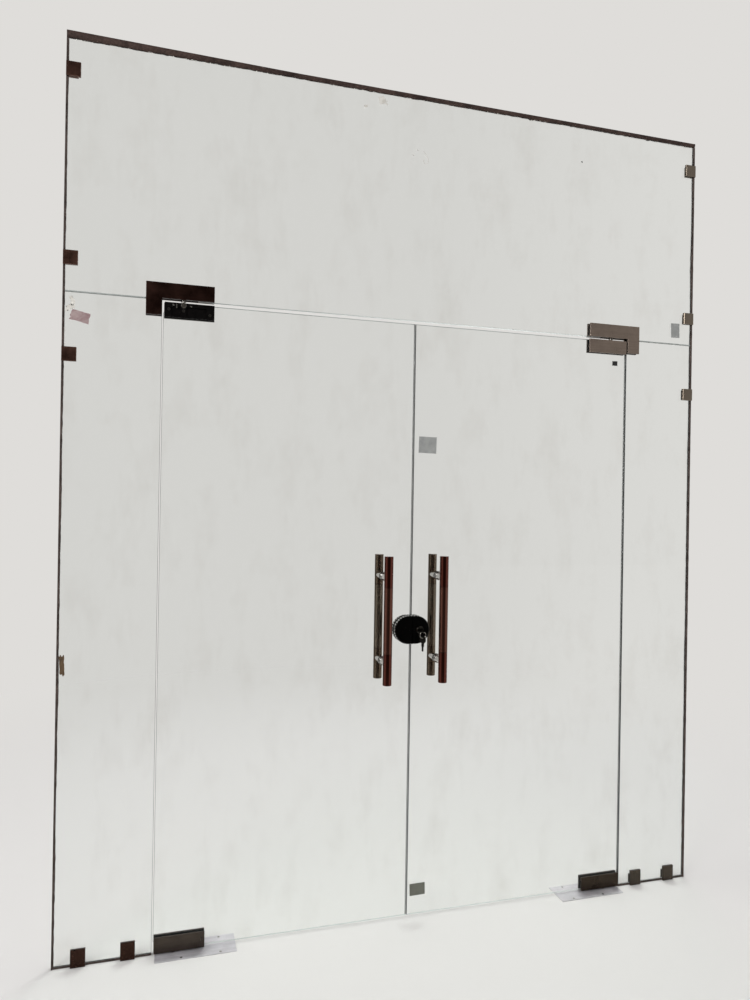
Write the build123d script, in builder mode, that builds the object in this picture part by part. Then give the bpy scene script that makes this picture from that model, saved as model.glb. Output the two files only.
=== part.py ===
from build123d import *
import os
from math import cos, radians, sin, sqrt

# A frameless glass entrance. An over-panel and two side panels stand between the walls in clips.
# A pair of double-action leaves hangs between them on patch fittings and floor springs, with
# back-to-back pull handles and a round centre lock shared by the two leaves.
# All sizes are in millimetres. X runs along the glass, to the right seen from outside, Y runs into
# the building and Z up. The origin is on the finished floor, on the line where the leaves meet,
# in the middle of the glass.

os.makedirs("parts", exist_ok=True)

LEFT = -1
RIGHT = 1
SIDE_NAMES = {LEFT: "left", RIGHT: "right"}

# Opening and glass
opening_w = 2400.0  # wall to wall
door_w = 1784.0  # clear width between the side panels
head_h = 2180.0  # finished floor to the underside of the over-panel
panel_h = 814.0  # height of the over-panel
glass_t = 12.0
arris = 1.0  # ground edge of every pane
wall_joint = 5.0  # glass to wall
floor_joint = 6.0  # side panel to floor
panel_joint = 2.0  # side panel to over-panel
side_gap = 4.0  # leaf to side panel
meeting_gap = 4.0  # leaf to leaf
head_gap = 12.0  # leaf to over-panel
sill_gap = 9.0  # leaf to floor

# Patch fittings, in common
patch_t = 32.0  # over both covers
patch_h = 52.0
cover_t = 1.2  # folded sheet of the covers
cover_fit = 0.3  # rim of a cover to the plate inside it
cover_lift = 0.8  # rim of a cover above the insert's face
cover_bend = 1.0  # outside bend of the sheet
gasket_t = 2.0
insert_gap = 1.0  # insert to the cut-out round it
notch_r = 8.0  # inside corner of a cut-out
screw_r = 3.0
screw_fit = 0.05
head_r = 5.0
head_l = 5.0
head_sink = 0.5  # screw head below the plate's face
socket_af = 5.0
socket_depth = 2.5
thread_cover = 1.5  # plate left beyond a screw's end
hole_r = 7.0  # hole in the glass round a clamp screw

# Leaf patches: along runs from the leaf's hinge edge, up runs from its top or bottom edge
patch_len = 165.0
patch_inset = 2.5  # hinge edge to the patch's end
patch_over = 2.0  # patch past the leaf's edge
notch_len = 120.0
notch_h = 34.0
pivot_back = 65.0  # hinge edge to the pivot
screw_end = 17.5  # clamp screws, along and up
screw_end_up = 22.0
screw_mid_up = 25.0
screw_far = 151.0
screw_far_up = 33.0
relief_depth = 4.0  # pockets cast in the clamp plate
relief_r = 4.0
relief_low = 15.0
relief_high = 45.0
relief_near = (25.0, 56.0)
relief_far = (74.0, 141.0)

# Corner patches: along runs from the side panel's edge over the door, up from the over-panel's edge
corner_len = 222.0
corner_leg_w = 52.0
corner_drop = 56.0  # leg below the over-panel
corner_notch_far = 117.0
corner_notch_near = 31.0
corner_notch_h = 35.0
corner_screw_near = 15.0
corner_screw_far = 100.0
corner_screw_up = 17.0
corner_screw_down = 20.0
corner_screw_end = 150.0
corner_screw_end_up = 26.0

# Top pivot pins
pin_r = 6.0
pin_fit = 0.05
pin_rise = 24.0  # pin inside the corner patch
pin_reach = 15.0  # pin inside the leaf's patch
pin_bottom_gap = 1.0
collar_r = 8.5
collar_h = 6.5

# Floor springs, along runs from the leaf's hinge edge
plate_start = 6.0
plate_len = 266.0
plate_w = 112.0
plate_t = 2.0
plate_hole_r = 10.5
box_margin = 4.0  # plate past the box
box_margin_w = 2.0
box_h = 44.0
box_wall = 1.5
case_end_gap = 4.0  # casting to the box
case_w = 76.0
case_top = 6.0  # casting below the floor
case_corner_r = 18.0
case_chamfer = 3.0
boss_r = 22.0
boss_drop = 3.3  # spindle boss below the floor
valve_r = 6.0
valve_h = 2.0
valve_spacing = 24.0
valve_along = 240.0
spindle_r = 8.5
spindle_fit = 0.05
spindle_depth = 24.0  # bore in the casting
bore_floor_gap = 0.2
head_len = 30.0  # tapered head of the spindle
head_w = 12.0
head_taper = 1.0
head_rise = 20.0
head_fit = 0.2
lug_along = (91.0, 219.0)  # fixing lugs of the box
lug_y = 46.0
lug_len = 14.0
lug_w = 13.0
lug_h = 8.0
plate_screw_r = 2.5
plate_screw_head_r = 4.5
plate_screw_l = 9.0

# Wall and floor clips: in runs from the glass edge into the glass, across runs along the edge
clip_in = 40.0
clip_w = 46.0
floor_clip_in = 52.0
clip_back_in = 31.0  # indoor plates, which hide behind the outdoor ones
clip_back_w = 38.0
clip_notch_r = 16.0
clip_notch_in = 9.0
clip_core_gap = 1.0
clip_gasket_t = 1.0
clip_edge = 1.5  # bevel of a clip plate
clip_foot_t = 3.0
clip_foot_hole_r = 2.5
clip_foot_spacing = 34.0
clip_neck_w = 24.0
clip_fit = 0.3  # seal to clip
wall_clip_heights = (1975.0, 2285.0, 2890.0)
floor_clip_inset = 75.0  # from each edge of a side panel

# Seals
seal_bead = 3.0  # seal past the glass edge, on its face
seal_reach = 4.0  # seal on the wall, past the glass face
ceiling_bead = 4.0
ceiling_seal_h = 15.0  # where the ceiling is level
ceiling_rise_x = -440.0  # where the joint starts to widen, to the left
ceiling_bend_x = -780.0
ceiling_bend_h = 19.0
ceiling_end_h = 24.0

# Pull handles
handle_x = 105.0  # from the meeting line
handle_z = 1095.0
handle_len = 457.0
handle_centres = 305.0
bar_r = 16.0
bar_y = 62.0  # bar's axis from the middle of the glass
bar_edge = 1.5
post_r = 13.5
post_foot_r = 16.0
post_foot_t = 3.0
post_neck_r = 10.0  # waist past the foot
post_neck_l = 8.0
washer_t = 1.0
saddle_fit = 0.05
spigot_r = 5.0
spigot_l = 12.0
spigot_root = 4.0  # inside the post
stud_r = 4.0
stud_end = 40.0
handle_hole_r = 8.0

# Centre lock
lock_z = 1053.0
lock_r = 50.0
lock_flat = 15.0  # centre of the round end from the meeting line
lock_edge = 1.5  # lock halves from the meeting line
lock_depth = 28.0  # outer face from the middle of the glass
lock_wall = 2.0
lock_seat = 1.0  # shell to glass, over a thin pad
lock_round = 4.0
case_r = 36.0
case_fit = 0.3
lock_notch_r = 38.0
barrel_x = 28.0
barrel_r = 10.0
barrel_fit = 0.05
barrel_rim_r = 13.0
barrel_rim_t = 3.0
barrel_end = 12.0  # inner end of the barrel
plug_r = 7.0
plug_fit = 0.05
plug_proud = 0.5
shaft_r = 4.0
shaft_fit = 0.1
cam_r = 12.0
cam_front = 8.0
cam_back = 4.5
cam_fit = 0.5
crank = 8.5  # cam pin from the barrel's axis
crank_r = 2.5
crank_fit = 0.5
bolt_t = 7.0
bolt_h = 16.0
bolt_drop = 5.0  # bolt's top edge below the barrel's axis
bolt_tail = 40.0
bolt_fit = 0.3
bolt_slot_depth = 7.5
bolt_nose_r = 3.0
bolt_throw = 12.0
keeper_room = 2.0

# Keys, ring and thumb turn
key_t = 2.0
key_bow_r = 12.0
key_bow_in = 5.0  # bow's centre from its hole
key_hole_r = 3.5
key_neck_end = 28.0
key_neck_w = 10.0
key_len = 46.0  # hole to tip
key_blade_w = 7.4
key_cut = 1.6
key_cuts = 4
keyway_fit = 0.2
key_stop = 0.3
ring_r = 11.0
wire_r = 0.9
hang_gap = 0.3
turn_r = 12.0
turn_t = 5.0
turn_len = 34.0
turn_w = 8.0
turn_h = 16.0

# Places worked out from these sizes
half_t = glass_t / 2
wall_x = opening_w / 2
panel_edge = wall_x - wall_joint
door_edge = door_w / 2
leaf_edge = door_edge - side_gap
meet_edge = meeting_gap / 2
leaf_top = head_h - head_gap
leaf_bottom = sill_gap
panel_top = head_h + panel_h
side_top = head_h - panel_joint
pivot_x = leaf_edge - pivot_back
insert_y = half_t + gasket_t
plate_y = patch_t / 2 - cover_t
plate_in = cover_t + cover_fit
rim_y = insert_y + cover_lift
clip_y = half_t + clip_gasket_t
seat_y = half_t + lock_seat
rotate_sin45 = sin(radians(45))


def layer(y):
    """The plane parallel to the glass at depth y. It faces outdoors, so extrusions run that way."""
    return Plane.XZ.offset(-y)


def area(xs, zs, mode=Mode.ADD, corner_r=0.0):
    """A rectangle between two places in each direction of the sketch, with corners rounded if asked."""
    across, up = abs(xs[1] - xs[0]), abs(zs[1] - zs[0])
    with Locations(((xs[0] + xs[1]) / 2, (zs[0] + zs[1]) / 2)):
        if corner_r:
            RectangleRounded(across, up, corner_r, mode=mode)
        else:
            Rectangle(across, up, mode=mode)


def save(piece, name):
    """Names a finished piece and writes it."""
    piece.part.label = name
    export_step(piece.part, f"parts/{name}.step")


class Corner:
    """A corner of the glass: along runs towards the meeting line, up runs from the pane's edge."""

    def __init__(self, side, edge_x, edge_z, inward):
        self.side, self.edge_x, self.edge_z, self.inward = side, edge_x, edge_z, inward

    def x(self, along):
        return self.side * (self.edge_x - along)

    def z(self, up):
        return self.edge_z + self.inward * up

    def area(self, along, up, mode=Mode.ADD, corner_r=0.0):
        xs, zs = (self.x(along[0]), self.x(along[1])), (self.z(up[0]), self.z(up[1]))
        area(xs, zs, mode, corner_r)


def leaf_corner(side, top):
    edge_z, inward = (leaf_top, -1) if top else (leaf_bottom, 1)
    return Corner(side, leaf_edge, edge_z, inward)


def head_corner(side):
    return Corner(side, door_edge, head_h, 1)


def leaf_screws(corner):
    """Centres of the clamp screws of one leaf patch."""
    places = ((screw_end, screw_end_up), (pivot_back, screw_mid_up), (screw_far, screw_far_up))
    return [(corner.x(along), corner.z(up)) for along, up in places]


def corner_screws(corner):
    """Centres of the clamp screws of one corner patch."""
    places = (
        (-corner_screw_near, corner_screw_up),
        (corner_screw_far, corner_screw_up),
        (corner_screw_end, corner_screw_end_up),
        (-corner_screw_near, -corner_screw_down),
    )
    return [(corner.x(along), corner.z(up)) for along, up in places]


def leaf_outline(corner, shrink=0.0):
    """The outline of a leaf patch, drawn in by shrink all round."""
    corner.area(
        (patch_inset + shrink, patch_inset + patch_len - shrink),
        (shrink - patch_over, patch_h - patch_over - shrink),
    )


def corner_outline(corner, shrink=0.0):
    """The outline of an L-shaped corner patch, drawn in by shrink all round."""
    far = corner_len - corner_leg_w
    corner.area((shrink - corner_leg_w, far - shrink), (shrink, patch_h - shrink))
    corner.area((shrink - corner_leg_w, -shrink), (shrink - corner_drop, shrink))


def round_corners(places):
    """Rounds the named corners of the insert being drawn, to clear the cut-out in the glass."""
    for x, z in places:
        nearest = min(vertices(), key=lambda v: abs(v.X - x) + abs(v.Y - z))
        fillet(nearest, radius=notch_r - insert_gap)


def leaf_insert(corner):
    """The part of a leaf's casting that fills the cut-out in the leaf."""
    far, up = notch_len - insert_gap, notch_h - insert_gap
    corner.area((patch_inset + plate_in, far), (plate_in - patch_over, up))
    round_corners([(corner.x(far), corner.z(up))])


def corner_insert(corner):
    """The L-shaped part of the corner casting that fills the cut-outs in both panes."""
    far, near = corner_notch_far - insert_gap, insert_gap - corner_notch_near
    up, down = corner_notch_h - insert_gap, insert_gap - corner_notch_h - panel_joint
    corner.area((near, far), (plate_in, up))
    corner.area((near, -plate_in), (down, plate_in))
    places = ((near, up), (far, up), (near, down))
    round_corners([(corner.x(along), corner.z(rise)) for along, rise in places])


def clamp_screw(x, z):
    """One socket-head clamp screw, from its head outdoors to its end in the rear plate."""
    with BuildPart() as screw:
        with BuildSketch(layer(head_l - plate_y + head_sink)):
            with Locations((x, z)):
                Circle(head_r)
        extrude(amount=head_l)
        with BuildSketch(layer(plate_y - thread_cover)):
            with Locations((x, z)):
                Circle(screw_r)
        extrude(amount=2 * plate_y - thread_cover - head_sink - head_l)
        with BuildSketch(layer(socket_depth - plate_y + head_sink)):
            with Locations((x, z)):
                RegularPolygon(socket_af / 2, 6, major_radius=False)
        extrude(amount=socket_depth, mode=Mode.SUBTRACT)
    return screw.part


def clamp_core(outline, insert, screws):
    """Front clamp plate with the insert cast on its back, and counterbores for its screws."""
    with BuildPart() as core:
        with BuildSketch(layer(-insert_y)):
            outline(plate_in)
        extrude(amount=plate_y - insert_y)
        with BuildSketch(layer(insert_y)):
            insert()
        extrude(amount=2 * insert_y)
        with BuildSketch(layer(insert_y)):
            with Locations(*screws):
                Circle(screw_r + screw_fit)
        extrude(amount=insert_y + plate_y, mode=Mode.SUBTRACT)
        with BuildSketch(layer(head_l - plate_y + head_sink)):
            with Locations(*screws):
                Circle(head_r + cover_fit)
        extrude(amount=head_l + head_sink, mode=Mode.SUBTRACT)
    return core.part


def rear_clamp(outline, screws):
    """Rear clamp plate, tapped for the screws that draw the two plates together."""
    with BuildPart() as clamp:
        with BuildSketch(layer(plate_y)):
            outline(plate_in)
        extrude(amount=plate_y - insert_y)
        with BuildSketch(layer(plate_y - thread_cover + screw_fit)):
            with Locations(*screws):
                Circle(screw_r + screw_fit)
        extrude(amount=plate_y, mode=Mode.SUBTRACT)
    return clamp.part


def folded_cover(outline, face):
    """A sheet cover folded over the clamp plate. face is LEFT for outdoors, RIGHT for indoors."""
    outer, inner = face * patch_t / 2, face * rim_y
    with BuildPart() as cover:
        with BuildSketch(layer(max(outer, inner))):
            outline(0.0)
        extrude(amount=patch_t / 2 - rim_y)
        front = faces().sort_by(Axis.Y)[0 if face == LEFT else -1]
        fillet(front.edges(), radius=cover_bend)
        with BuildSketch(layer(max(face * plate_y, inner))):
            outline(cover_t)
        extrude(amount=plate_y - rim_y, mode=Mode.SUBTRACT)
    return cover.part


def half_round(side, radius, edge):
    """Half of the lock's outline: a round end with straight sides up to the meeting edge."""
    heights = (lock_z - radius, lock_z + radius)
    with Locations((side * lock_flat, lock_z)):
        Circle(radius)
    area((side * edge, side * lock_flat), heights)
    area((side * edge, side * (lock_flat + radius)), heights, Mode.INTERSECT)


# Glass panes
def ground_edges(part):
    """Grinds an arris along the long straight edges of both faces of a pane."""
    long_edges = part.edges().filter_by(lambda e: e.length > lock_r).filter_by(GeomType.LINE)
    chamfer([e for e in long_edges if abs(abs(e.center().Y) - half_t) < arris / 2], length=arris)


def clip_places(side):
    """Wall clips beside one wall: (edge point, direction into the glass) for each."""
    return [(side * panel_edge, z) for z in wall_clip_heights]


def floor_clip_places(side):
    """Centres, along X, of the floor clips of one side panel."""
    return [side * (door_edge + floor_clip_inset), side * (panel_edge - floor_clip_inset)]


with BuildPart() as overpanel:
    with BuildSketch(layer(half_t)):
        area((-panel_edge, panel_edge), (head_h, panel_top))
    extrude(amount=glass_t)
    ground_edges(overpanel)
    with BuildSketch(layer(half_t)):
        for side in (LEFT, RIGHT):
            corner = head_corner(side)
            corner.area(
                (-corner_notch_near, corner_notch_far),
                (-corner_notch_h, corner_notch_h),
                corner_r=notch_r,
            )
            with Locations((corner.x(corner_screw_end), corner.z(corner_screw_end_up))):
                Circle(hole_r)
            for x, z in clip_places(side):
                if z > head_h:
                    with Locations((x - side * clip_notch_in, z)):
                        Circle(clip_notch_r)
    extrude(amount=glass_t, mode=Mode.SUBTRACT)
save(overpanel, "overpanel_glass")

for side in (LEFT, RIGHT):
    corner = head_corner(side)
    with BuildPart() as side_panel:
        with BuildSketch(layer(half_t)):
            area((side * door_edge, side * panel_edge), (floor_joint, side_top))
        extrude(amount=glass_t)
        ground_edges(side_panel)
        with BuildSketch(layer(half_t)):
            corner.area(
                (-corner_notch_near, corner_notch_near),
                (-corner_notch_h - panel_joint, corner_notch_h),
                corner_r=notch_r,
            )
            for x, z in clip_places(side):
                if z < head_h:
                    with Locations((x - side * clip_notch_in, z)):
                        Circle(clip_notch_r)
            with Locations(*[(x, floor_joint + clip_notch_in) for x in floor_clip_places(side)]):
                Circle(clip_notch_r)
        extrude(amount=glass_t, mode=Mode.SUBTRACT)
    save(side_panel, f"{SIDE_NAMES[side]}_sidelight_glass")

for side in (LEFT, RIGHT):
    with BuildPart() as leaf:
        with BuildSketch(layer(half_t)):
            area((side * meet_edge, side * leaf_edge), (leaf_bottom, leaf_top))
        extrude(amount=glass_t)
        ground_edges(leaf)
        with BuildSketch(layer(half_t)):
            for top in (True, False):
                corner = leaf_corner(side, top)
                corner.area((-notch_len, notch_len), (-notch_h, notch_h), corner_r=notch_r)
                with Locations((corner.x(screw_far), corner.z(screw_far_up))):
                    Circle(hole_r)
            with Locations((side * handle_x, handle_z)):
                with GridLocations(0, handle_centres, 1, 2):
                    Circle(handle_hole_r)
            with Locations((side * lock_flat, lock_z)):
                Circle(lock_notch_r)
            area((0, side * lock_flat), (lock_z - lock_notch_r, lock_z + lock_notch_r))
        extrude(amount=glass_t, mode=Mode.SUBTRACT)
    save(leaf, f"{SIDE_NAMES[side]}_leaf_glass")

# Patch fittings on the leaves
for side in (LEFT, RIGHT):
    name = SIDE_NAMES[side]
    corners = {"top": leaf_corner(side, True), "bottom": leaf_corner(side, False)}

    for level, corner in corners.items():
        with BuildPart() as core:
            add(
                clamp_core(
                    lambda shrink: leaf_outline(corner, shrink),
                    lambda: leaf_insert(corner),
                    leaf_screws(corner),
                )
            )
            with BuildSketch(layer(relief_depth - plate_y)):
                for span in (relief_near, relief_far):
                    heights = (relief_low - patch_over, relief_high - patch_over)
                    corner.area(span, heights, corner_r=relief_r)
            extrude(amount=relief_depth, mode=Mode.SUBTRACT)
            insert_edge = corner.z(plate_in - patch_over)
            if level == "top":
                with BuildSketch(Plane.XY.offset(insert_edge)):
                    with Locations((corner.x(pivot_back), 0)):
                        Circle(pin_r + pin_fit)
                extrude(amount=-pin_reach - pin_bottom_gap, mode=Mode.SUBTRACT)
            else:
                for rise, shrink in ((0.0, 0.0), (head_rise, head_taper)):
                    with BuildSketch(Plane.XY.offset(insert_edge + rise)):
                        with Locations((corner.x(pivot_back), 0)):
                            grow = 2 * (head_fit - shrink)
                            Rectangle(head_len + grow, head_w + grow)
                loft(mode=Mode.SUBTRACT)
        save(core, f"{name}_{level}_patch_core")

    with BuildPart() as clamps:
        for corner in corners.values():
            add(rear_clamp(lambda shrink: leaf_outline(corner, shrink), leaf_screws(corner)))
    save(clamps, f"{name}_patch_clamps")

    # The left leaf's top patch has lost its outdoor cover, so its casting shows.
    for level, corner in corners.items():
        if (side, level) != (LEFT, "top"):
            with BuildPart() as cover:
                add(folded_cover(lambda shrink: leaf_outline(corner, shrink), LEFT))
            save(cover, f"{name}_{level}_patch_cover")

    with BuildPart() as back_covers:
        for corner in corners.values():
            add(folded_cover(lambda shrink: leaf_outline(corner, shrink), RIGHT))
    save(back_covers, f"{name}_patch_back_covers")

    with BuildPart() as gaskets:
        for start in (insert_y, -half_t):
            with BuildSketch(layer(start)):
                for corner in corners.values():
                    leaf_outline(corner, plate_in)
                for corner in corners.values():
                    corner.area((0, notch_len), (-patch_over, notch_h), Mode.SUBTRACT)
                    with Locations((corner.x(screw_far), corner.z(screw_far_up))):
                        Circle(hole_r, mode=Mode.SUBTRACT)
            extrude(amount=gasket_t)
        for start in (half_t + washer_t, -half_t):
            with BuildSketch(layer(start)):
                with Locations((side * handle_x, handle_z)):
                    with GridLocations(0, handle_centres, 1, 2):
                        Circle(post_foot_r)
                        Circle(handle_hole_r, mode=Mode.SUBTRACT)
            extrude(amount=washer_t)
        for start in (seat_y, -half_t):
            with BuildSketch(layer(start)):
                half_round(side, lock_r, meet_edge)
                with Locations((side * lock_flat, lock_z)):
                    Circle(lock_notch_r, mode=Mode.SUBTRACT)
                heights = (lock_z - lock_notch_r, lock_z + lock_notch_r)
                area((0, side * lock_flat), heights, Mode.SUBTRACT)
            extrude(amount=lock_seat)
    save(gaskets, f"{name}_leaf_gaskets")

    with BuildPart() as screws:
        for corner in corners.values():
            for x, z in leaf_screws(corner):
                add(clamp_screw(x, z))
    save(screws, f"{name}_patch_screws")

# Corner patches that join the over-panel and a side panel and carry a top pivot
with BuildPart() as corner_clamps:
    for side in (LEFT, RIGHT):
        corner = head_corner(side)
        add(rear_clamp(lambda shrink: corner_outline(corner, shrink), corner_screws(corner)))
save(corner_clamps, "corner_patch_clamps")

for side in (LEFT, RIGHT):
    corner = head_corner(side)
    with BuildPart() as corner_core:
        add(
            clamp_core(
                lambda shrink: corner_outline(corner, shrink),
                lambda: corner_insert(corner),
                corner_screws(corner),
            )
        )
        with BuildSketch(Plane.XY.offset(head_h + plate_in)):
            with Locations((side * pivot_x, 0)):
                Circle(pin_r + pin_fit)
        extrude(amount=pin_rise + pin_bottom_gap, mode=Mode.SUBTRACT)
    save(corner_core, f"{SIDE_NAMES[side]}_corner_patch_core")

    with BuildPart() as corner_cover:
        add(folded_cover(lambda shrink: corner_outline(corner, shrink), LEFT))
    save(corner_cover, f"{SIDE_NAMES[side]}_corner_patch_cover")

with BuildPart() as corner_back_covers:
    for side in (LEFT, RIGHT):
        corner = head_corner(side)
        add(folded_cover(lambda shrink: corner_outline(corner, shrink), RIGHT))
save(corner_back_covers, "corner_patch_back_covers")

with BuildPart() as corner_gaskets:
    for side in (LEFT, RIGHT):
        corner = head_corner(side)
        for start in (insert_y, -half_t):
            with BuildSketch(layer(start)):
                corner_outline(corner, plate_in)
                corner.area(
                    (-corner_notch_near, corner_notch_far), (0, corner_notch_h), Mode.SUBTRACT
                )
                corner.area(
                    (-corner_notch_near, 0), (-corner_notch_h - panel_joint, 0), Mode.SUBTRACT
                )
                corner.area(
                    (-corner_leg_w, -corner_notch_near), (-panel_joint, 0), Mode.SUBTRACT
                )
                with Locations((corner.x(corner_screw_end), corner.z(corner_screw_end_up))):
                    Circle(hole_r, mode=Mode.SUBTRACT)
            extrude(amount=gasket_t)
save(corner_gaskets, "corner_patch_gaskets")

with BuildPart() as corner_screw_set:
    for side in (LEFT, RIGHT):
        for x, z in corner_screws(head_corner(side)):
            add(clamp_screw(x, z))
save(corner_screw_set, "corner_patch_screws")

with BuildPart() as pins:
    insert_edge = head_h + plate_in
    pin_tip = leaf_top - (plate_in - patch_over) - pin_reach
    for side in (LEFT, RIGHT):
        with BuildSketch(Plane.XY.offset(pin_tip)):
            with Locations((side * pivot_x, 0)):
                Circle(pin_r)
        extrude(amount=insert_edge + pin_rise - pin_tip)
        with BuildSketch(Plane.XY.offset(insert_edge - collar_h)):
            with Locations((side * pivot_x, 0)):
                Circle(collar_r)
        extrude(amount=collar_h)
save(pins, "top_pivot_pins")

# Floor springs under the leaves' pivots
case_end = box_margin + box_wall + case_end_gap
box_inner_w = plate_w - 2 * box_margin_w - 2 * box_wall


def floor_area(side, inset, half_w):
    """A rectangle on the floor, set in by the same distance from both ends of the plate."""
    ends = (plate_start + inset, plate_start + plate_len - inset)
    area([side * (leaf_edge - along) for along in ends], (-half_w, half_w))


def lug_places(side):
    return [(side * (leaf_edge - a), y) for a in lug_along for y in (-lug_y, lug_y)]


with BuildPart() as boxes:
    for side in (LEFT, RIGHT):
        with BuildSketch(Plane.XY.offset(-box_h)):
            floor_area(side, box_margin, plate_w / 2 - box_margin_w)
        extrude(amount=box_h)
        with BuildSketch(Plane.XY.offset(box_wall - box_h)):
            floor_area(side, box_margin + box_wall, box_inner_w / 2)
        extrude(amount=box_h - box_wall, mode=Mode.SUBTRACT)
        with BuildSketch(Plane.XY.offset(-lug_h)):
            for x, y in lug_places(side):
                wall_y = box_inner_w / 2 if y > 0 else -box_inner_w / 2
                area((x - lug_len / 2, x + lug_len / 2), (wall_y, wall_y - lug_w * y / abs(y)))
        extrude(amount=lug_h)
        with BuildSketch(Plane.XY):
            with Locations(*lug_places(side)):
                Circle(plate_screw_r + screw_fit)
        extrude(amount=-lug_h, mode=Mode.SUBTRACT)
save(boxes, "floor_spring_boxes")

with BuildPart() as springs:
    for side in (LEFT, RIGHT):
        with BuildPart(mode=Mode.PRIVATE) as spring:
            with BuildSketch(Plane.XY.offset(box_wall - box_h)) as outline:
                floor_area(side, case_end, case_w / 2)
                fillet(outline.vertices(), radius=case_corner_r)
            extrude(amount=box_h - box_wall - case_top)
            chamfer(faces().sort_by(Axis.Z)[-1].edges(), length=case_chamfer)
            with BuildSketch(Plane.XY.offset(-case_top)):
                with Locations((side * pivot_x, 0)):
                    Circle(boss_r)
            extrude(amount=case_top - boss_drop)
            with BuildSketch(Plane.XY.offset(-case_top)):
                with Locations((side * (leaf_edge - valve_along), 0)):
                    with GridLocations(0, valve_spacing, 1, 2):
                        Circle(valve_r)
            extrude(amount=valve_h)
            with BuildSketch(Plane.XY.offset(-boss_drop)):
                with Locations((side * pivot_x, 0)):
                    Circle(spindle_r + spindle_fit)
            extrude(amount=-spindle_depth - bore_floor_gap, mode=Mode.SUBTRACT)
        add(spring.part)
save(springs, "floor_spring_bodies")

for side in (LEFT, RIGHT):
    with BuildPart() as floor_plate:
        with BuildSketch(Plane.XY):
            floor_area(side, 0, plate_w / 2)
            with Locations((side * pivot_x, 0)):
                Circle(plate_hole_r, mode=Mode.SUBTRACT)
        extrude(amount=plate_t)
        with Locations(*[(x, y, plate_t) for x, y in lug_places(side)]):
            CounterSinkHole(
                radius=plate_screw_r + screw_fit,
                counter_sink_radius=plate_screw_head_r + screw_fit,
                depth=plate_t,
            )
    save(floor_plate, f"{SIDE_NAMES[side]}_floor_plate")

    with BuildPart() as spindle:
        insert_edge = leaf_bottom + plate_in - patch_over
        with BuildSketch(Plane.XY.offset(-boss_drop - spindle_depth)):
            with Locations((side * pivot_x, 0)):
                Circle(spindle_r)
        extrude(amount=boss_drop + spindle_depth + insert_edge)
        for rise, shrink in ((0.0, 0.0), (head_rise, head_taper)):
            with BuildSketch(Plane.XY.offset(insert_edge + rise)):
                with Locations((side * pivot_x, 0)):
                    Rectangle(head_len - 2 * shrink, head_w - 2 * shrink)
        loft()
    save(spindle, f"{SIDE_NAMES[side]}_spindle")

with BuildPart() as plate_screws:
    for side in (LEFT, RIGHT):
        for x, y in lug_places(side):
            with BuildSketch(Plane((x, y, 0), x_dir=(1, 0, 0), z_dir=(0, -1, 0))):
                with BuildLine():
                    cone = plate_screw_head_r - plate_screw_r
                    Polyline(
                        (0, plate_t),
                        (plate_screw_head_r, plate_t),
                        (plate_screw_r, plate_t - cone),
                        (plate_screw_r, plate_t - plate_screw_l),
                        (0, plate_t - plate_screw_l),
                        close=True,
                    )
                make_face()
            revolve(axis=Axis((x, y, 0), (0, 0, 1)))
save(plate_screws, "floor_plate_screws")


# Wall and floor clips
class Clip:
    """One glass clip: into runs from the glass edge into the pane, across runs along the edge."""

    def __init__(self, edge, into, joint, reach):
        self.edge, self.into, self.joint, self.reach = edge, into, joint, reach

    def at(self, into, across):
        ix, iz = self.into
        return (self.edge[0] + ix * into + iz * across, self.edge[1] + iz * into + ix * across)

    def area(self, into, across, mode=Mode.ADD):
        (x0, z0), (x1, z1) = self.at(into[0], across[0]), self.at(into[1], across[1])
        area((x0, x1), (z0, z1), mode)

    def plate_area(self, outward, start):
        """The outline of a plate or gasket, from start to where it ends on the glass."""
        reach, width = self.reach, clip_w
        if outward == RIGHT:
            reach, width = clip_back_in, clip_back_w
        self.area((start, reach), (-width / 2, width / 2))


wall_clips = [
    Clip(place, (-side, 0), wall_joint, clip_in)
    for side in (LEFT, RIGHT)
    for place in clip_places(side)
]
floor_clips = [
    Clip((x, floor_joint), (0, 1), floor_joint, floor_clip_in)
    for side in (LEFT, RIGHT)
    for x in floor_clip_places(side)
]
clips = wall_clips + floor_clips

with BuildPart() as clip_cores:
    for clip in clips:
        with BuildSketch(layer(clip_y)):
            with Locations(clip.at(clip_notch_in, 0)):
                Circle(clip_notch_r - clip_core_gap)
            clip.area((-clip.joint, 0), (-clip_w, clip_w), Mode.SUBTRACT)
            clip.area((-2 * clip.joint, clip_notch_in), (-clip_neck_w / 2, clip_neck_w / 2))
            clip.area((-clip.joint - clip_notch_r, -clip.joint), (-clip_w, clip_w), Mode.SUBTRACT)
            clip.area((-clip.joint, clip_foot_t - clip.joint), (-clip_w / 2, clip_w / 2))
            with Locations(clip.at(clip_notch_in, 0)):
                Circle(screw_r + screw_fit, mode=Mode.SUBTRACT)
        extrude(amount=2 * clip_y)
    for clip in clips:
        for across in (-clip_foot_spacing / 2, clip_foot_spacing / 2):
            x, z = clip.at(-clip.joint, across)
            with BuildSketch(Plane((x, 0, z), z_dir=(clip.into[0], 0, clip.into[1]))):
                Circle(clip_foot_hole_r)
            extrude(amount=clip_foot_t, mode=Mode.SUBTRACT)
save(clip_cores, "clip_cores")

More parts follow.
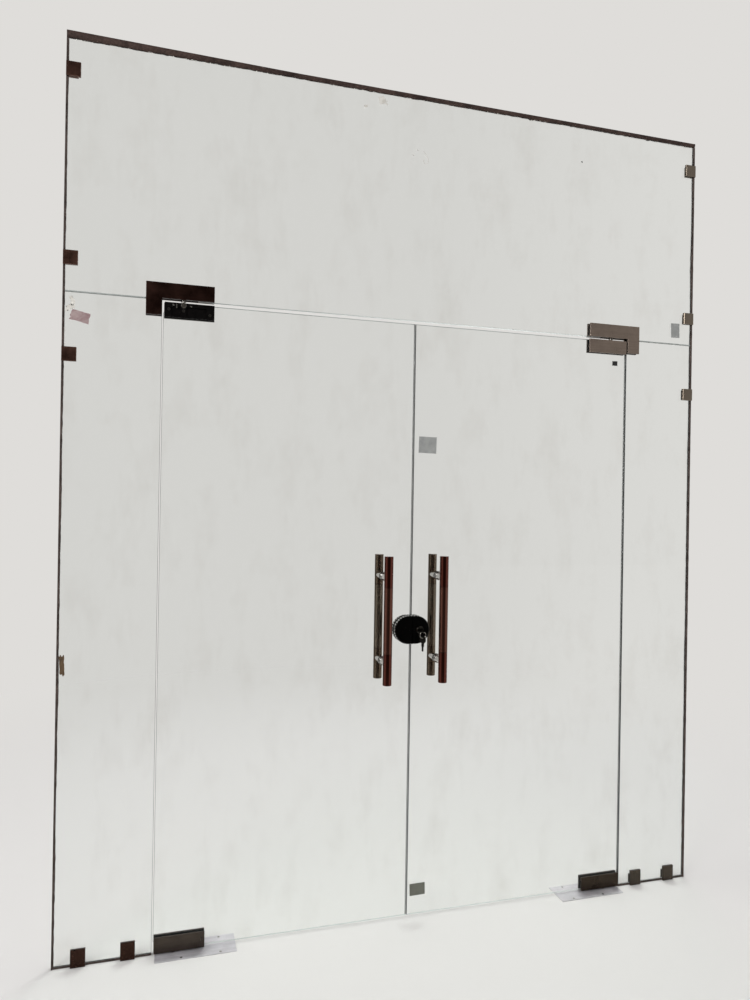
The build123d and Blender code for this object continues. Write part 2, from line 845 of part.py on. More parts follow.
with BuildPart() as clip_plates:
    for clip in clips:
        for start, outward in ((-clip_y, LEFT), (patch_t / 2, RIGHT)):
            with BuildPart(mode=Mode.PRIVATE) as plate:
                with BuildSketch(layer(start)):
                    clip.plate_area(outward, -clip.joint)
                extrude(amount=patch_t / 2 - clip_y)
                outer = faces().sort_by(Axis.Y)[0 if outward == LEFT else -1]
                chamfer(outer.edges(), length=clip_edge)
                x, z = clip.at(clip_notch_in, 0)
                with BuildSketch(layer(patch_t / 2 if outward == RIGHT else -clip_y)):
                    with Locations((x, z)):
                        Circle(screw_r + screw_fit)
                thread = patch_t / 2 - clip_y - (thread_cover if outward == LEFT else 0)
                extrude(amount=thread, mode=Mode.SUBTRACT)
                if outward == RIGHT:
                    with BuildSketch(layer(patch_t / 2)):
                        with Locations((x, z)):
                            Circle(head_r + cover_fit)
                    extrude(amount=head_l + head_sink, mode=Mode.SUBTRACT)
            add(plate.part)
save(clip_plates, "clip_plates")

with BuildPart() as clip_gaskets:
    for clip in clips:
        for start, outward in ((-half_t, LEFT), (clip_y, RIGHT)):
            with BuildSketch(layer(start)):
                clip.plate_area(outward, 0)
                with Locations(clip.at(clip_notch_in, 0)):
                    Circle(clip_notch_r, mode=Mode.SUBTRACT)
            extrude(amount=clip_gasket_t)
save(clip_gaskets, "clip_gaskets")

with BuildPart() as clip_screws:
    for clip in clips:
        x, z = clip.at(clip_notch_in, 0)
        head_top = patch_t / 2 - head_sink
        with BuildSketch(layer(head_top)):
            with Locations((x, z)):
                Circle(head_r)
        extrude(amount=head_l)
        with BuildSketch(layer(head_top - head_l)):
            with Locations((x, z)):
                Circle(screw_r)
        extrude(amount=head_top - head_l + patch_t / 2 - thread_cover - screw_fit)
        with BuildSketch(layer(head_top)):
            with Locations((x, z)):
                RegularPolygon(socket_af / 2, 6, major_radius=False)
        extrude(amount=socket_depth, mode=Mode.SUBTRACT)
save(clip_screws, "clip_screws")

# Seals between the panes and the building
with BuildPart() as ceiling_seal:
    bead_low = panel_top - ceiling_bead
    with BuildSketch(layer(half_t + seal_reach)):
        with BuildLine():
            Polyline(
                (-wall_x, bead_low),
                (wall_x, bead_low),
                (wall_x, bead_low + ceiling_seal_h),
                (ceiling_rise_x, bead_low + ceiling_seal_h),
                (ceiling_bend_x, bead_low + ceiling_bend_h),
                (-wall_x, bead_low + ceiling_end_h),
                close=True,
            )
        make_face()
    extrude(amount=glass_t + 2 * seal_reach)
    low_edges = edges().filter_by(Axis.X).group_by(Axis.Z)[0]
    chamfer(low_edges, length=ceiling_bead - arris, length2=seal_reach - arris)
    with BuildSketch(layer(half_t)):
        area((-panel_edge, panel_edge), (bead_low, panel_top))
    extrude(amount=glass_t, mode=Mode.SUBTRACT)
save(ceiling_seal, "ceiling_seal")

with BuildPart() as edge_seals:
    for side in (LEFT, RIGHT):
        with BuildSketch(Plane.XY):
            with BuildLine():
                Polyline(
                    (side * wall_x, -half_t - seal_reach),
                    (side * wall_x, half_t + seal_reach),
                    (side * (panel_edge - seal_bead), half_t),
                    (side * panel_edge, half_t),
                    (side * panel_edge, -half_t),
                    (side * (panel_edge - seal_bead), -half_t),
                    close=True,
                )
            make_face()
        extrude(amount=panel_top - ceiling_bead)
        with BuildSketch(Plane.XY):
            area((side * door_edge, side * panel_edge), (-half_t, half_t))
        extrude(amount=floor_joint)
    for clip in clips:
        with BuildSketch(layer(patch_t)):
            half_w = clip_w / 2 + clip_fit
            clip.area((-2 * clip.joint, clip.reach), (-half_w, half_w))
        extrude(amount=2 * patch_t, mode=Mode.SUBTRACT)
save(edge_seals, "edge_seals")

# Pull handles, a pair on each leaf
post_zs = (handle_z - handle_centres / 2, handle_z + handle_centres / 2)


def bar(x, face):
    """A straight round bar with its ends eased and a blind hole for each post."""
    with BuildPart() as handle:
        with BuildSketch(Plane.XY.offset(handle_z - handle_len / 2)):
            with Locations((x, face * bar_y)):
                Circle(bar_r)
        extrude(amount=handle_len)
        fillet(edges().filter_by(GeomType.CIRCLE), radius=bar_edge)
        for z in post_zs:
            with BuildSketch(layer(face * bar_y)):
                with Locations((x, z)):
                    Circle(spigot_r + saddle_fit)
            extrude(amount=face * bar_r, mode=Mode.SUBTRACT)
    return handle.part


def post(x, z, face):
    """A turned post from the glass to the bar, hollowed to the bar's round. One has the stud."""
    foot = half_t + washer_t
    rim = foot + post_foot_t
    saddle = bar_y - sqrt(bar_r**2 - post_r**2)
    with BuildPart() as turned:
        with BuildSketch(Plane((x, 0, z), x_dir=(1, 0, 0), z_dir=(0, 0, 1))):
            with BuildLine():
                rim_edge = (post_foot_r, face * rim)
                neck = (post_neck_r, face * (rim + post_neck_l / 2))
                shoulder = (post_r, face * (rim + post_neck_l))
                ThreePointArc(rim_edge, neck, shoulder)
                Polyline(
                    shoulder,
                    (post_r, face * saddle),
                    (0, face * saddle),
                    (0, face * foot),
                    (post_foot_r, face * foot),
                    rim_edge,
                )
            make_face()
        revolve(axis=Axis((x, 0, z), (0, 1, 0)))
        with BuildSketch(Plane.XY.offset(z - 2 * post_r)):
            with Locations((x, face * bar_y)):
                Circle(bar_r + saddle_fit)
        extrude(amount=4 * post_r, mode=Mode.SUBTRACT)
        with BuildSketch(layer(face * (bar_y - bar_r - spigot_root))):
            with Locations((x, z)):
                Circle(spigot_r)
        extrude(amount=-face * (spigot_l + spigot_root))
        if face == LEFT:
            with BuildSketch(layer(stud_end)):
                with Locations((x, z)):
                    Circle(stud_r)
            extrude(amount=stud_end + foot)
        else:
            with BuildSketch(layer(stud_end + pin_bottom_gap)):
                with Locations((x, z)):
                    Circle(stud_r + screw_fit)
            extrude(amount=stud_end, mode=Mode.SUBTRACT)
    return turned.part


for side in (LEFT, RIGHT):
    name = SIDE_NAMES[side]
    for face, place in ((LEFT, "outer"), (RIGHT, "inner")):
        with BuildPart() as pull:
            add(bar(side * handle_x, face))
        save(pull, f"{name}_{place}_handle")
    with BuildPart() as posts:
        for z in post_zs:
            for face in (LEFT, RIGHT):
                add(post(side * handle_x, z, face))
    save(posts, f"{name}_handle_posts")


# Centre lock: a case on the right leaf and a keeper on the left leaf
def lock_shell(side, face):
    """One cup-shaped shell. face is LEFT for outdoors, RIGHT for indoors."""
    floor_y = lock_depth - lock_wall
    with BuildPart() as shell:
        with BuildSketch(layer(max(face * lock_depth, face * seat_y))):
            half_round(side, lock_r, lock_edge)
        extrude(amount=lock_depth - seat_y)
        rim = faces().sort_by(Axis.Y)[0 if face == LEFT else -1].edges()
        rim = rim.filter_by(lambda e: abs(e.center().X) > lock_edge + case_fit)
        fillet(rim, radius=lock_round)
        with BuildSketch(layer(max(face * floor_y, face * seat_y))):
            half_round(side, lock_r - lock_wall - case_fit, lock_edge + lock_wall)
        extrude(amount=floor_y - seat_y, mode=Mode.SUBTRACT)
    return shell.part


def lock_block(side):
    """The solid block inside a pair of shells, with its nose in the plane of the glass."""
    inner_y, nose_y = lock_depth - lock_wall, seat_y - case_fit
    back_edge = lock_edge + lock_wall + case_fit
    with BuildPart() as block:
        with BuildSketch(layer(inner_y)):
            half_round(side, case_r, back_edge)
        extrude(amount=2 * inner_y)
        with BuildSketch(layer(nose_y)):
            area((side * meet_edge, side * back_edge), (lock_z - case_r, lock_z + case_r))
        extrude(amount=2 * nose_y)
    return block.part


def bolt_area(side, xs, slack):
    """The bolt's outline seen from the front, with slack above and below."""
    top = lock_z - bolt_drop
    area((side * xs[0], side * xs[1]), (top - bolt_h - slack, top + slack))


barrel_place = (barrel_x, lock_z)

for side in (LEFT, RIGHT):
    with BuildPart() as shells:
        for face in (LEFT, RIGHT):
            with BuildPart(mode=Mode.PRIVATE) as shell:
                add(lock_shell(side, face))
                if side == RIGHT:
                    start = -seat_y if face == LEFT else lock_depth
                    opening = barrel_r + shaft_fit if face == LEFT else shaft_r + shaft_fit
                    with BuildSketch(layer(start)):
                        with Locations(barrel_place):
                            Circle(opening)
                    extrude(amount=lock_depth - seat_y, mode=Mode.SUBTRACT)
            add(shell.part)
    save(shells, f"{SIDE_NAMES[side]}_lock_shells")

with BuildPart() as keeper:
    add(lock_block(LEFT))
    with BuildSketch(layer(bolt_t / 2 + keeper_room)):
        bolt_area(LEFT, (0, bolt_throw + keeper_room), keeper_room)
    extrude(amount=bolt_t + 2 * keeper_room, mode=Mode.SUBTRACT)
save(keeper, "lock_keeper")

with BuildPart() as lock_case:
    add(lock_block(RIGHT))
    with BuildSketch(layer(bolt_t / 2 + bolt_fit)):
        bolt_area(RIGHT, (0, bolt_tail + bolt_fit), bolt_fit)
    extrude(amount=bolt_t + 2 * bolt_fit, mode=Mode.SUBTRACT)
    for start, depth, radius in (
        (-barrel_end, lock_depth, barrel_r + barrel_fit),
        (bolt_t / 2 + bolt_fit, bolt_t / 2 + bolt_fit + cam_front + bolt_fit, cam_r + cam_fit),
        (lock_depth, lock_depth + barrel_end, shaft_r + shaft_fit),
    ):
        with BuildSketch(layer(start)):
            with Locations(barrel_place):
                Circle(radius)
        extrude(amount=depth, mode=Mode.SUBTRACT)
save(lock_case, "lock_case")

with BuildPart() as barrel:
    with BuildSketch(layer(-barrel_end)):
        with Locations(barrel_place):
            Circle(barrel_r)
    extrude(amount=lock_depth - barrel_end)
    with BuildSketch(layer(-lock_depth)):
        with Locations(barrel_place):
            Circle(barrel_rim_r)
    extrude(amount=barrel_rim_t)
    chamfer(faces().sort_by(Axis.Y)[0].edges(), length=arris)
    with BuildSketch(layer(-barrel_end)):
        with Locations(barrel_place):
            Circle(plug_r + plug_fit)
    extrude(amount=lock_depth + barrel_rim_t - barrel_end, mode=Mode.SUBTRACT)
save(barrel, "lock_barrel")

plug_face = lock_depth + barrel_rim_t + plug_proud
shaft_end = lock_depth + turn_t
with BuildPart() as plug:
    with BuildSketch(layer(-barrel_end)):
        with Locations(barrel_place):
            Circle(plug_r)
    extrude(amount=plug_face - barrel_end)
    with BuildSketch(layer(shaft_end)):
        with Locations(barrel_place):
            Circle(shaft_r)
    extrude(amount=shaft_end + barrel_end)
    with BuildSketch(layer(-cam_back)):
        with Locations(barrel_place):
            Circle(cam_r)
    extrude(amount=cam_front - cam_back)
    with BuildSketch(layer(bolt_t / 2 - bolt_fit)):
        with Locations((barrel_x + crank * rotate_sin45, lock_z - crank * rotate_sin45)):
            Circle(crank_r)
    extrude(amount=bolt_t / 2 - bolt_fit + cam_back)
    with BuildSketch(layer(key_t + keyway_fit - barrel_end)):
        with Locations(barrel_place):
            Rectangle(key_t + 2 * keyway_fit, key_blade_w + 2 * keyway_fit)
    extrude(amount=plug_face, mode=Mode.SUBTRACT)
save(plug, "lock_plug")

with BuildPart() as bolt:
    with BuildSketch(layer(bolt_t / 2)):
        bolt_area(RIGHT, (meet_edge + bolt_fit, bolt_tail), 0.0)
        slot_x = barrel_x + crank * rotate_sin45
        slot_w = 2 * (crank_r + crank_fit)
        top = lock_z - bolt_drop
        area((slot_x - slot_w / 2, slot_x + slot_w / 2), (top - bolt_slot_depth, top), Mode.SUBTRACT)
    extrude(amount=bolt_t)
    nose = edges().filter_by(Axis.Y).group_by(Axis.X)[0]
    fillet(nose, radius=bolt_nose_r)
save(bolt, "lock_bolt")


# Keys on their ring, and the thumb turn indoors
def key(origin, blade_dir):
    """A flat key with a round bow. It starts at the middle of its hole and points along blade_dir."""
    flat = Plane(origin, x_dir=blade_dir, z_dir=(1, 0, 0)).offset(-key_t / 2)
    step = (key_len - key_neck_end - key_blade_w / 2) / key_cuts
    with BuildPart() as blank:
        with BuildSketch(flat):
            with Locations((key_bow_in, 0)):
                Circle(key_bow_r)
            area((key_bow_in, key_neck_end), (-key_neck_w / 2, key_neck_w / 2))
            area((key_neck_end, key_len - key_blade_w / 2), (-key_blade_w / 2, key_blade_w / 2))
            with Locations((key_len - key_blade_w / 2, 0)):
                Circle(key_blade_w / 2)
            cuts = [key_neck_end + step * (n + 1) for n in range(key_cuts)]
            with Locations(*[(cut, -key_blade_w / 2) for cut in cuts]):
                RegularPolygon(key_cut, 4, mode=Mode.SUBTRACT)
            Circle(key_hole_r, mode=Mode.SUBTRACT)
        extrude(amount=key_t)
    return blank.part


hole_y = -(plug_face + key_stop + key_neck_end)
wire_drop = key_hole_r - wire_r - hang_gap
ring_z = lock_z - wire_drop - ring_r
spare_z = ring_z - ring_r - wire_drop
with BuildPart() as inserted_key:
    add(key((barrel_x, hole_y, lock_z), (0, 1, 0)))
save(inserted_key, "lock_key")

with BuildPart() as key_ring:
    with BuildSketch(Plane((barrel_x, hole_y, ring_z), x_dir=(1, 0, 0), z_dir=(0, 0, 1))):
        with Locations((ring_r, 0)):
            Circle(wire_r)
    revolve(axis=Axis((barrel_x, hole_y, ring_z), (0, 1, 0)))
save(key_ring, "key_ring")

with BuildPart() as spare_key:
    add(key((barrel_x, hole_y, spare_z), (0, 0, -1)))
save(spare_key, "spare_key")

with BuildPart() as thumb_turn:
    boss_y = lock_depth + case_fit
    with BuildSketch(layer(boss_y + turn_t)):
        with Locations(barrel_place):
            Circle(turn_r)
    extrude(amount=turn_t)
    with BuildSketch(layer(boss_y + turn_t + turn_h)):
        with Locations(barrel_place):
            SlotOverall(turn_len, turn_w, rotation=90)
    extrude(amount=turn_h)
    fillet(faces().sort_by(Axis.Y)[-1].edges(), radius=turn_w / 4)
    with BuildSketch(layer(shaft_end + pin_bottom_gap)):
        with Locations(barrel_place):
            Circle(shaft_r + screw_fit)
    extrude(amount=turn_t + pin_bottom_gap, mode=Mode.SUBTRACT)
save(thumb_turn, "thumb_turn")
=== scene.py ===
# %% [markdown]
# # A frameless glass entrance
# The real object is a shopfront without a frame. Toughened glass stands in clips, and two leaves
# swing on metal patches. The solid model already holds every pane, patch, bar and lock at its real
# size. This lesson adds what the eye needs: finishes, small fasteners, sealant and old labels.

# %% Load the solid model and keep its box
import math

import bmesh
import bpy
from mathutils import Matrix, Vector, noise


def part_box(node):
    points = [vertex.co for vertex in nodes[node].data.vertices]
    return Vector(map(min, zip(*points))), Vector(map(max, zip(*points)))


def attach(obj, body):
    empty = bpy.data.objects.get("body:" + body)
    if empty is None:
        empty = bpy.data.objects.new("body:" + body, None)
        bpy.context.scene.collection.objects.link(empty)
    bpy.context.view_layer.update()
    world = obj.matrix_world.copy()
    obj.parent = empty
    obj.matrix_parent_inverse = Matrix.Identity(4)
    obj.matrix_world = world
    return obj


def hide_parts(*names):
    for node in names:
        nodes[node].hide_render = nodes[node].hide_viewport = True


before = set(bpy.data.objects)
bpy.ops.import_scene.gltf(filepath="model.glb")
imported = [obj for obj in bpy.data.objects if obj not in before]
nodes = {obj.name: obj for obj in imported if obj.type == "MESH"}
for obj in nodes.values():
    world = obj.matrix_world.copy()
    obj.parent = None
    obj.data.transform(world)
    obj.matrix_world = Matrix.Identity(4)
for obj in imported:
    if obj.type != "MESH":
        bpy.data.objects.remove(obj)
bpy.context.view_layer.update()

mm = 0.001

# %% [markdown]
# ## Sizes shared with the solid model
# A loose piece has to touch the glass or the metal that carries it, so a few sizes of the solid
# model are named here again. Everything else is measured from the solids as they are loaded.

# %% Name the sizes
glass_face = 6.0 * mm
patch_face = 14.8 * mm
leaf_edge = 888.0 * mm
lock_place = Vector((0.0, 0.0, 1053 * mm))
lock_round, lock_flat, lock_edge = 50.0 * mm, 15.0 * mm, 1.5 * mm
bar_middle, bar_satin_half = 1095 * mm, 118 * mm
pane_top = 2994 * mm
hair = 0.05 * mm  # a gap that keeps two faces from lying in one plane
stuck_y = -glass_face - 0.2 * mm  # the middle of crumbs and strokes on the outdoor face
print("glass is", 2 * glass_face / mm, "mm thick")

# %% [markdown]
# ## Small tools for materials
# Colours are written as hex, the way a paint chart gives them, and turned to linear light once.
# One function adds a node with its settings and what is plugged into it, for shaders and for
# geometry alike. A few short ones build on it and hand back the socket that holds their result,
# so that one can be written inside another and each finish stays short enough to read.

# %% Turn a hex colour to linear light
def colour(hex_code):
    """Linear red, green, blue and full alpha for an sRGB hex colour."""
    parts = [int(hex_code[i:i + 2], 16) / 255 for i in (1, 3, 5)]
    return [c / 12.92 if c <= 0.04045 else ((c + 0.055) / 1.055) ** 2.4 for c in parts] + [1.0]


print("mid grey in linear light:", [round(c, 3) for c in colour("#808080")])

# %% Add a node, and start a material
def put(tree, kind, inputs=None, **settings):
    """Adds one node. settings are its options; inputs are values or the sockets plugged into it."""
    made = tree.nodes.new(kind)
    for name, value in settings.items():
        setattr(made, name, value)
    for name, value in (inputs or {}).items():
        if isinstance(value, bpy.types.NodeSocket):
            tree.links.new(value, made.inputs[name])
        else:
            made.inputs[name].default_value = value
    return made


def start_finish(name):
    """A new material with nothing in it yet but the object's own coordinates."""
    material = bpy.data.materials.new(name)
    material.use_nodes = True
    tree = material.node_tree
    tree.nodes.clear()
    return material, tree, put(tree, "ShaderNodeTexCoord").outputs["Object"]


def show(tree, shader):
    """Plugs a shader node into the material's output."""
    tree.links.new(shader.outputs[0], put(tree, "ShaderNodeOutputMaterial").inputs["Surface"])


print("tools ready")

# %% Work with numbers, colours and noise
def maths(tree, operation, *values):
    """One sum, such as MULTIPLY, on numbers or sockets."""
    return put(tree, "ShaderNodeMath", dict(enumerate(values)), operation=operation).outputs[0]


def part_of(tree, vector, axis):
    """The X, Y or Z of a vector."""
    return put(tree, "ShaderNodeSeparateXYZ", {"Vector": vector}).outputs[axis]


def blend(tree, share, start, end, kind="RGBA"):
    """Goes from start to end as share rises from nought to one. kind is FLOAT for numbers."""
    first, result = (6, 2) if kind == "RGBA" else (2, 0)
    return put(tree, "ShaderNodeMix", {
        "Factor": share, first: start, first + 1: end}, data_type=kind).outputs[result]


def remap(tree, value, span, onto=(0.0, 1.0), **settings):
    """Stretches one span of values onto another, and holds what lies beyond at its ends."""
    return put(tree, "ShaderNodeMapRange", {
        "Value": value, "From Min": span[0], "From Max": span[1],
        "To Min": onto[0], "To Max": onto[1]}, **settings).outputs[0]


def cloud(tree, where, scale, detail, roughness=0.5):
    """Cloudy noise. Nearly all of it lies in most_noise."""
    return put(tree, "ShaderNodeTexNoise", {
        "Vector": where, "Scale": scale, "Detail": detail, "Roughness": roughness}).outputs["Fac"]


def relief(tree, height, strength, distance):
    """Fine relief that only the light feels."""
    return put(tree, "ShaderNodeBump", {
        "Height": height, "Strength": strength, "Distance": distance}).outputs[0]


most_noise = (0.3, 0.7)
print("most noise lies between", *most_noise)

# %% [markdown]
# ## Toughened float glass
# Float glass is nearly clear across its 12 mm, but along an edge the eye looks through a metre of
# it and sees green. The edges are ground, so they scatter light. Both are one material: the
# object's own normal tells a broad face from an edge, and the two get their own colour and
# roughness. The ground edges are milky, so only a third of the light goes through them. The
# upright edges at the middle and on the right, and the small bevel of every upright edge, are
# painted dark grey: this is painted shade for edges that turn away from the light.
# A film of dust and old wipe marks makes the faces a little less than perfect. Light from the
# lamps passes straight through, as it does through a real pane.

# %% Make the glass
def float_glass():
    material, tree, where = start_finish("toughened_float_glass")
    normal = put(tree, "ShaderNodeTexCoord").outputs["Normal"]
    # How much a normal points along Y tells a broad face from a bevel and a bevel from an edge.
    broad, bevelled, side_on, lit_until = 0.9, 0.3, 0.6, -0.5
    facing = maths(tree, "ABSOLUTE", part_of(tree, normal, "Y"))
    edge = maths(tree, "LESS_THAN", facing, broad)
    bevel = maths(tree, "GREATER_THAN", facing, bevelled)
    sideways = maths(tree, "ABSOLUTE", part_of(tree, normal, "X"))
    upright = maths(tree, "GREATER_THAN", sideways, side_on)
    # Painted shade: upright edges right of X = -0.5, and the bevels of all upright edges, get the dim
    # grey.
    beyond = maths(tree, "GREATER_THAN", part_of(tree, where, "X"), lit_until)
    painted_shade = maths(tree, "MULTIPLY", upright, maths(tree, "MAXIMUM", bevel, beyond))
    # Wipe marks: bands about 90 mm wide that lean, broken up by cloudy dust about 250 mm across.
    lean = put(tree, "ShaderNodeMapping", {
        "Vector": where, "Rotation": (0, 0.6, 0), "Scale": (11, 1, 3.4)})
    wipes = cloud(tree, lean.outputs[0], scale=1.0, detail=4.0, roughness=0.6)
    dust = cloud(tree, where, scale=4.0, detail=6.0, roughness=0.7)
    smear = remap(tree, maths(tree, "MULTIPLY", wipes, dust), (0.24, 0.46))
    dullest_film, ground_edge, edge_passes = 0.03, 0.4, 0.35
    haze = maths(tree, "MULTIPLY", smear, dullest_film)
    wiped, dusty, milky, dim = (colour(c) for c in ("#F9FBFA", "#F1F2F0", "#B4BAB7", "#3E4140"))
    film = blend(tree, smear, wiped, dusty)
    ground_and_painted_shade = blend(tree, painted_shade, milky, dim)
    pane = put(tree, "ShaderNodeBsdfPrincipled", {
        "Base Color": blend(tree, edge, film, ground_and_painted_shade), "IOR": 1.52,
        "Roughness": blend(tree, edge, haze, ground_edge, "FLOAT"),
        "Transmission Weight": blend(tree, edge, 1.0, edge_passes, "FLOAT")})
    through = put(tree, "ShaderNodeBsdfTransparent", {"Color": colour("#F1F5F3")})
    show(tree, put(tree, "ShaderNodeMixShader", {
        0: put(tree, "ShaderNodeLightPath").outputs["Is Shadow Ray"],
        1: pane.outputs[0], 2: through.outputs[0]}))
    return material


glass = float_glass()
print("finish:", glass.name)

# %% [markdown]
# ## Brushed stainless sheet
# The patch covers, clip plates and floor plates are stainless sheet, drawn over a belt of grit.
# The belt leaves fine parallel lines, so a highlight spreads across them and stays short along
# them. Real lines are about 0.2 mm apart. That is finer than a pixel here, so they are drawn
# 1.5 mm apart, and 4 mm on the scuffed floor plates. A second, cloudy pattern is the film that
# hands and weather leave. Each finish has one colour left of the meeting line and another right
# of it, so a finish has two colours. That difference is painted shade: the covers and clips on
# the left are painted darker. Clip plates also turn darker towards the floor.

# %% Make a brushed sheet of any shade
def left_and_right(tree, where, left, right):
    """A colour that changes at the meeting line, which stands at X = 0."""
    side = maths(tree, "GREATER_THAN", part_of(tree, where, "X"), 0.0)
    return blend(tree, side, colour(left), colour(right))


def brushed_sheet(name, left, right, grain, roughness, line=1.5 * mm, bare=1.0, at_floor=1.0):
    """Brushed steel with two colours, one on each side of the meeting line, whose difference is painted
    shade. grain is the axis of the brush lines, bare the share of metal that shows through dirt, and
    at_floor how much of the colour is left near the floor, where the sheet turns darker."""
    material, tree, where = start_finish(name)
    stretch = [1 / line] * 3
    stretch[grain] = 9.0
    lines = put(tree, "ShaderNodeMapping", {"Vector": where, "Scale": stretch})
    brush = cloud(tree, lines.outputs[0], scale=1.0, detail=3.0, roughness=0.65)
    film = cloud(tree, where, scale=22.0, detail=5.0, roughness=0.6)
    spread = remap(tree, maths(tree, "MULTIPLY", brush, film), (0.14, 0.38), (0.72, 1.0))
    # The sheet turns darker towards the floor, down to the share that at_floor gives.
    darker_near_floor = remap(tree, part_of(tree, where, "Z"), (0.05, 0.3), (at_floor, 1.0))
    tone_with_painted_light = put(tree, "ShaderNodeVectorMath", {
        0: left_and_right(tree, where, left, right),
        "Scale": maths(tree, "MULTIPLY", spread, darker_near_floor)}, operation="SCALE")
    show(tree, put(tree, "ShaderNodeBsdfPrincipled", {
        "Base Color": tone_with_painted_light.outputs[0], "Metallic": bare, "Anisotropic": 0.4,
        "Roughness": remap(tree, film, most_noise, (roughness - 0.06, roughness + 0.1)),
        "Normal": relief(tree, brush, 0.12, 0.2 * mm)}))
    return material


# Painted shade: each finish gets a left and a right colour, and on the covers and clips the left one is
# much darker.
cover_sheet = brushed_sheet("brushed_stainless_cover", "#412C26", "#998A7F", 0, 0.3)
low_cover = brushed_sheet("brushed_stainless_low_cover", "#4F4741", "#443B33", 0, 0.3)
clip_sheet = brushed_sheet("brushed_stainless_clip", "#664A40", "#84796D", 2, 0.3, at_floor=0.38)
plate_sheet = brushed_sheet("scuffed_stainless_plate", "#D6D3D7", "#D2CFD2", 0, 0.5, 4 * mm, bare=0.45)
print("finishes:", [m.name for m in (cover_sheet, low_cover, clip_sheet, plate_sheet)])

# %% [markdown]
# ## Pull bars: satin grip, polished ends
# Each bar is one stainless tube. The length between the posts is rubbed to a dull satin so that
# it doesn't show fingers, and the ends are polished. A turned line marks the change. The bar
# stands upright, so its height alone tells which finish a point has. The red-brown of the outdoor
# bars and the grey-brown of the indoor ones are painted reflection of the room, not the steel's colour.

# %% Make the bar's two finishes in one material
def pull_bar(name, satin, polished):
    material, tree, where = start_finish(name)
    rise = maths(tree, "SUBTRACT", part_of(tree, where, "Z"), bar_middle)
    away = maths(tree, "ABSOLUTE", rise)
    end = maths(tree, "GREATER_THAN", away, bar_satin_half)
    off_line = maths(tree, "ABSOLUTE", maths(tree, "SUBTRACT", away, bar_satin_half))
    line = maths(tree, "LESS_THAN", off_line, 0.9 * mm)
    # Satin lines run round the bar, drawn about 2 mm apart instead of the real 0.1 mm.
    rings = put(tree, "ShaderNodeMapping", {"Vector": where, "Scale": (40, 40, 500)})
    rub = cloud(tree, rings.outputs[0], scale=1.0, detail=4.0, roughness=0.6)
    dull = remap(tree, rub, most_noise, (0.16, 0.26))
    tone_with_painted_light = blend(tree, end, colour(satin), colour(polished))
    show(tree, put(tree, "ShaderNodeBsdfPrincipled", {
        "Base Color": blend(tree, line, tone_with_painted_light, colour("#2C2625")), "Metallic": 1.0,
        "Roughness": blend(tree, end, dull, 0.1, "FLOAT"),
        "Normal": relief(tree, rub, 0.08, 0.1 * mm)}))
    return material


# Painted reflection: both colours of each bar stand in for the room mirrored in the steel.
outer_bar = pull_bar("satin_bar_outdoors", "#6A463C", "#5E342C")
inner_bar = pull_bar("satin_bar_indoors", "#756B5F", "#6B5F52")
print("finishes:", outer_bar.name, inner_bar.name)

# %% [markdown]
# ## Plain metals
# Polished posts, turned steel, blackened keys, a black nickel barrel and galvanised sheet differ in
# colour, in how sharp they mirror, and in the marks that making them left. One recipe serves all:
# a metal, a shade that drifts a little, and a fine grain of its own size.

# %% Make a plain metal with its own grain
def plain_metal(name, shade, deep, roughness, grain, bump):
    """A bare metal. grain is the size of its marks, and bump how deep they feel."""
    material, tree, where = start_finish(name)
    marks = cloud(tree, where, scale=1 / grain, detail=5.0, roughness=0.6)
    show(tree, put(tree, "ShaderNodeBsdfPrincipled", {
        "Base Color": blend(tree, marks, colour(deep), colour(shade)), "Metallic": 1.0,
        "Roughness": remap(tree, marks, most_noise, (roughness * 0.8, roughness * 1.25)),
        "Normal": relief(tree, marks, bump, 0.1 * mm)}))
    return material


polished_post = plain_metal("polished_stainless_post", "#C9C7C4", "#A5A29E", 0.09, 12 * mm, 0.02)
turned_steel = plain_metal("turned_plain_steel", "#A9A6A0", "#7E7B76", 0.3, 2 * mm, 0.1)
bright_screw = plain_metal("zinc_plated_screw", "#C2C0BA", "#98958E", 0.26, 1.5 * mm, 0.1)
dark_screw = plain_metal("oiled_black_screw", "#77736F", "#4C4947", 0.3, 1.5 * mm, 0.1)
dark_key = plain_metal("black_nickel_key", "#33312D", "#1C1B19", 0.2, 1.2 * mm, 0.15)
ring_wire = plain_metal("nickel_plated_wire", "#CFCCC6", "#A8A49E", 0.12, 1.5 * mm, 0.05)
dark_barrel = plain_metal("black_nickel_barrel", "#6A6661", "#45423E", 0.14, 1.5 * mm, 0.1)
lock_steel = plain_metal("machined_lock_steel", "#8F8A83", "#6A655F", 0.32, 3 * mm, 0.15)
chrome_rim = plain_metal("chromed_rim", "#D6D5D3", "#B9B8B6", 0.07, 8 * mm, 0.02)
galvanised = plain_metal("galvanised_box", "#9BA0A1", "#74797B", 0.42, 9 * mm, 0.2)
print("metals ready")

# %% [markdown]
# ## Castings, lacquer, rubber and sealant
# These are not bare metal. The clamp castings are blackened and dull, with the sand's grain still
# in them. The lock's shells are sprayed black and glossy. Gaskets are plain black sheet. Sealant
# is pressed in by hand and dries lumpy, with dust stuck to it.

# %% Make a coated or soft finish
def coated(name, shade, deep, roughness, grain, bump, shine=0.5):
    """A surface that isn't bare metal. shine is how much of the usual reflection it has."""
    material, tree, where = start_finish(name)
    fine = cloud(tree, where, scale=1 / grain, detail=6.0, roughness=0.65)
    broad = cloud(tree, where, scale=0.12 / grain, detail=3.0)
    spread = remap(tree, maths(tree, "ADD", fine, broad), (0.75, 1.25))
    drift = (roughness * 0.85, min(1.0, roughness * 1.2))
    show(tree, put(tree, "ShaderNodeBsdfPrincipled", {
        "Base Color": blend(tree, spread, colour(deep), colour(shade)), "Specular IOR Level": shine,
        "Roughness": remap(tree, broad, most_noise, drift),
        "Normal": relief(tree, fine, bump, 0.5 * mm)}))
    return material


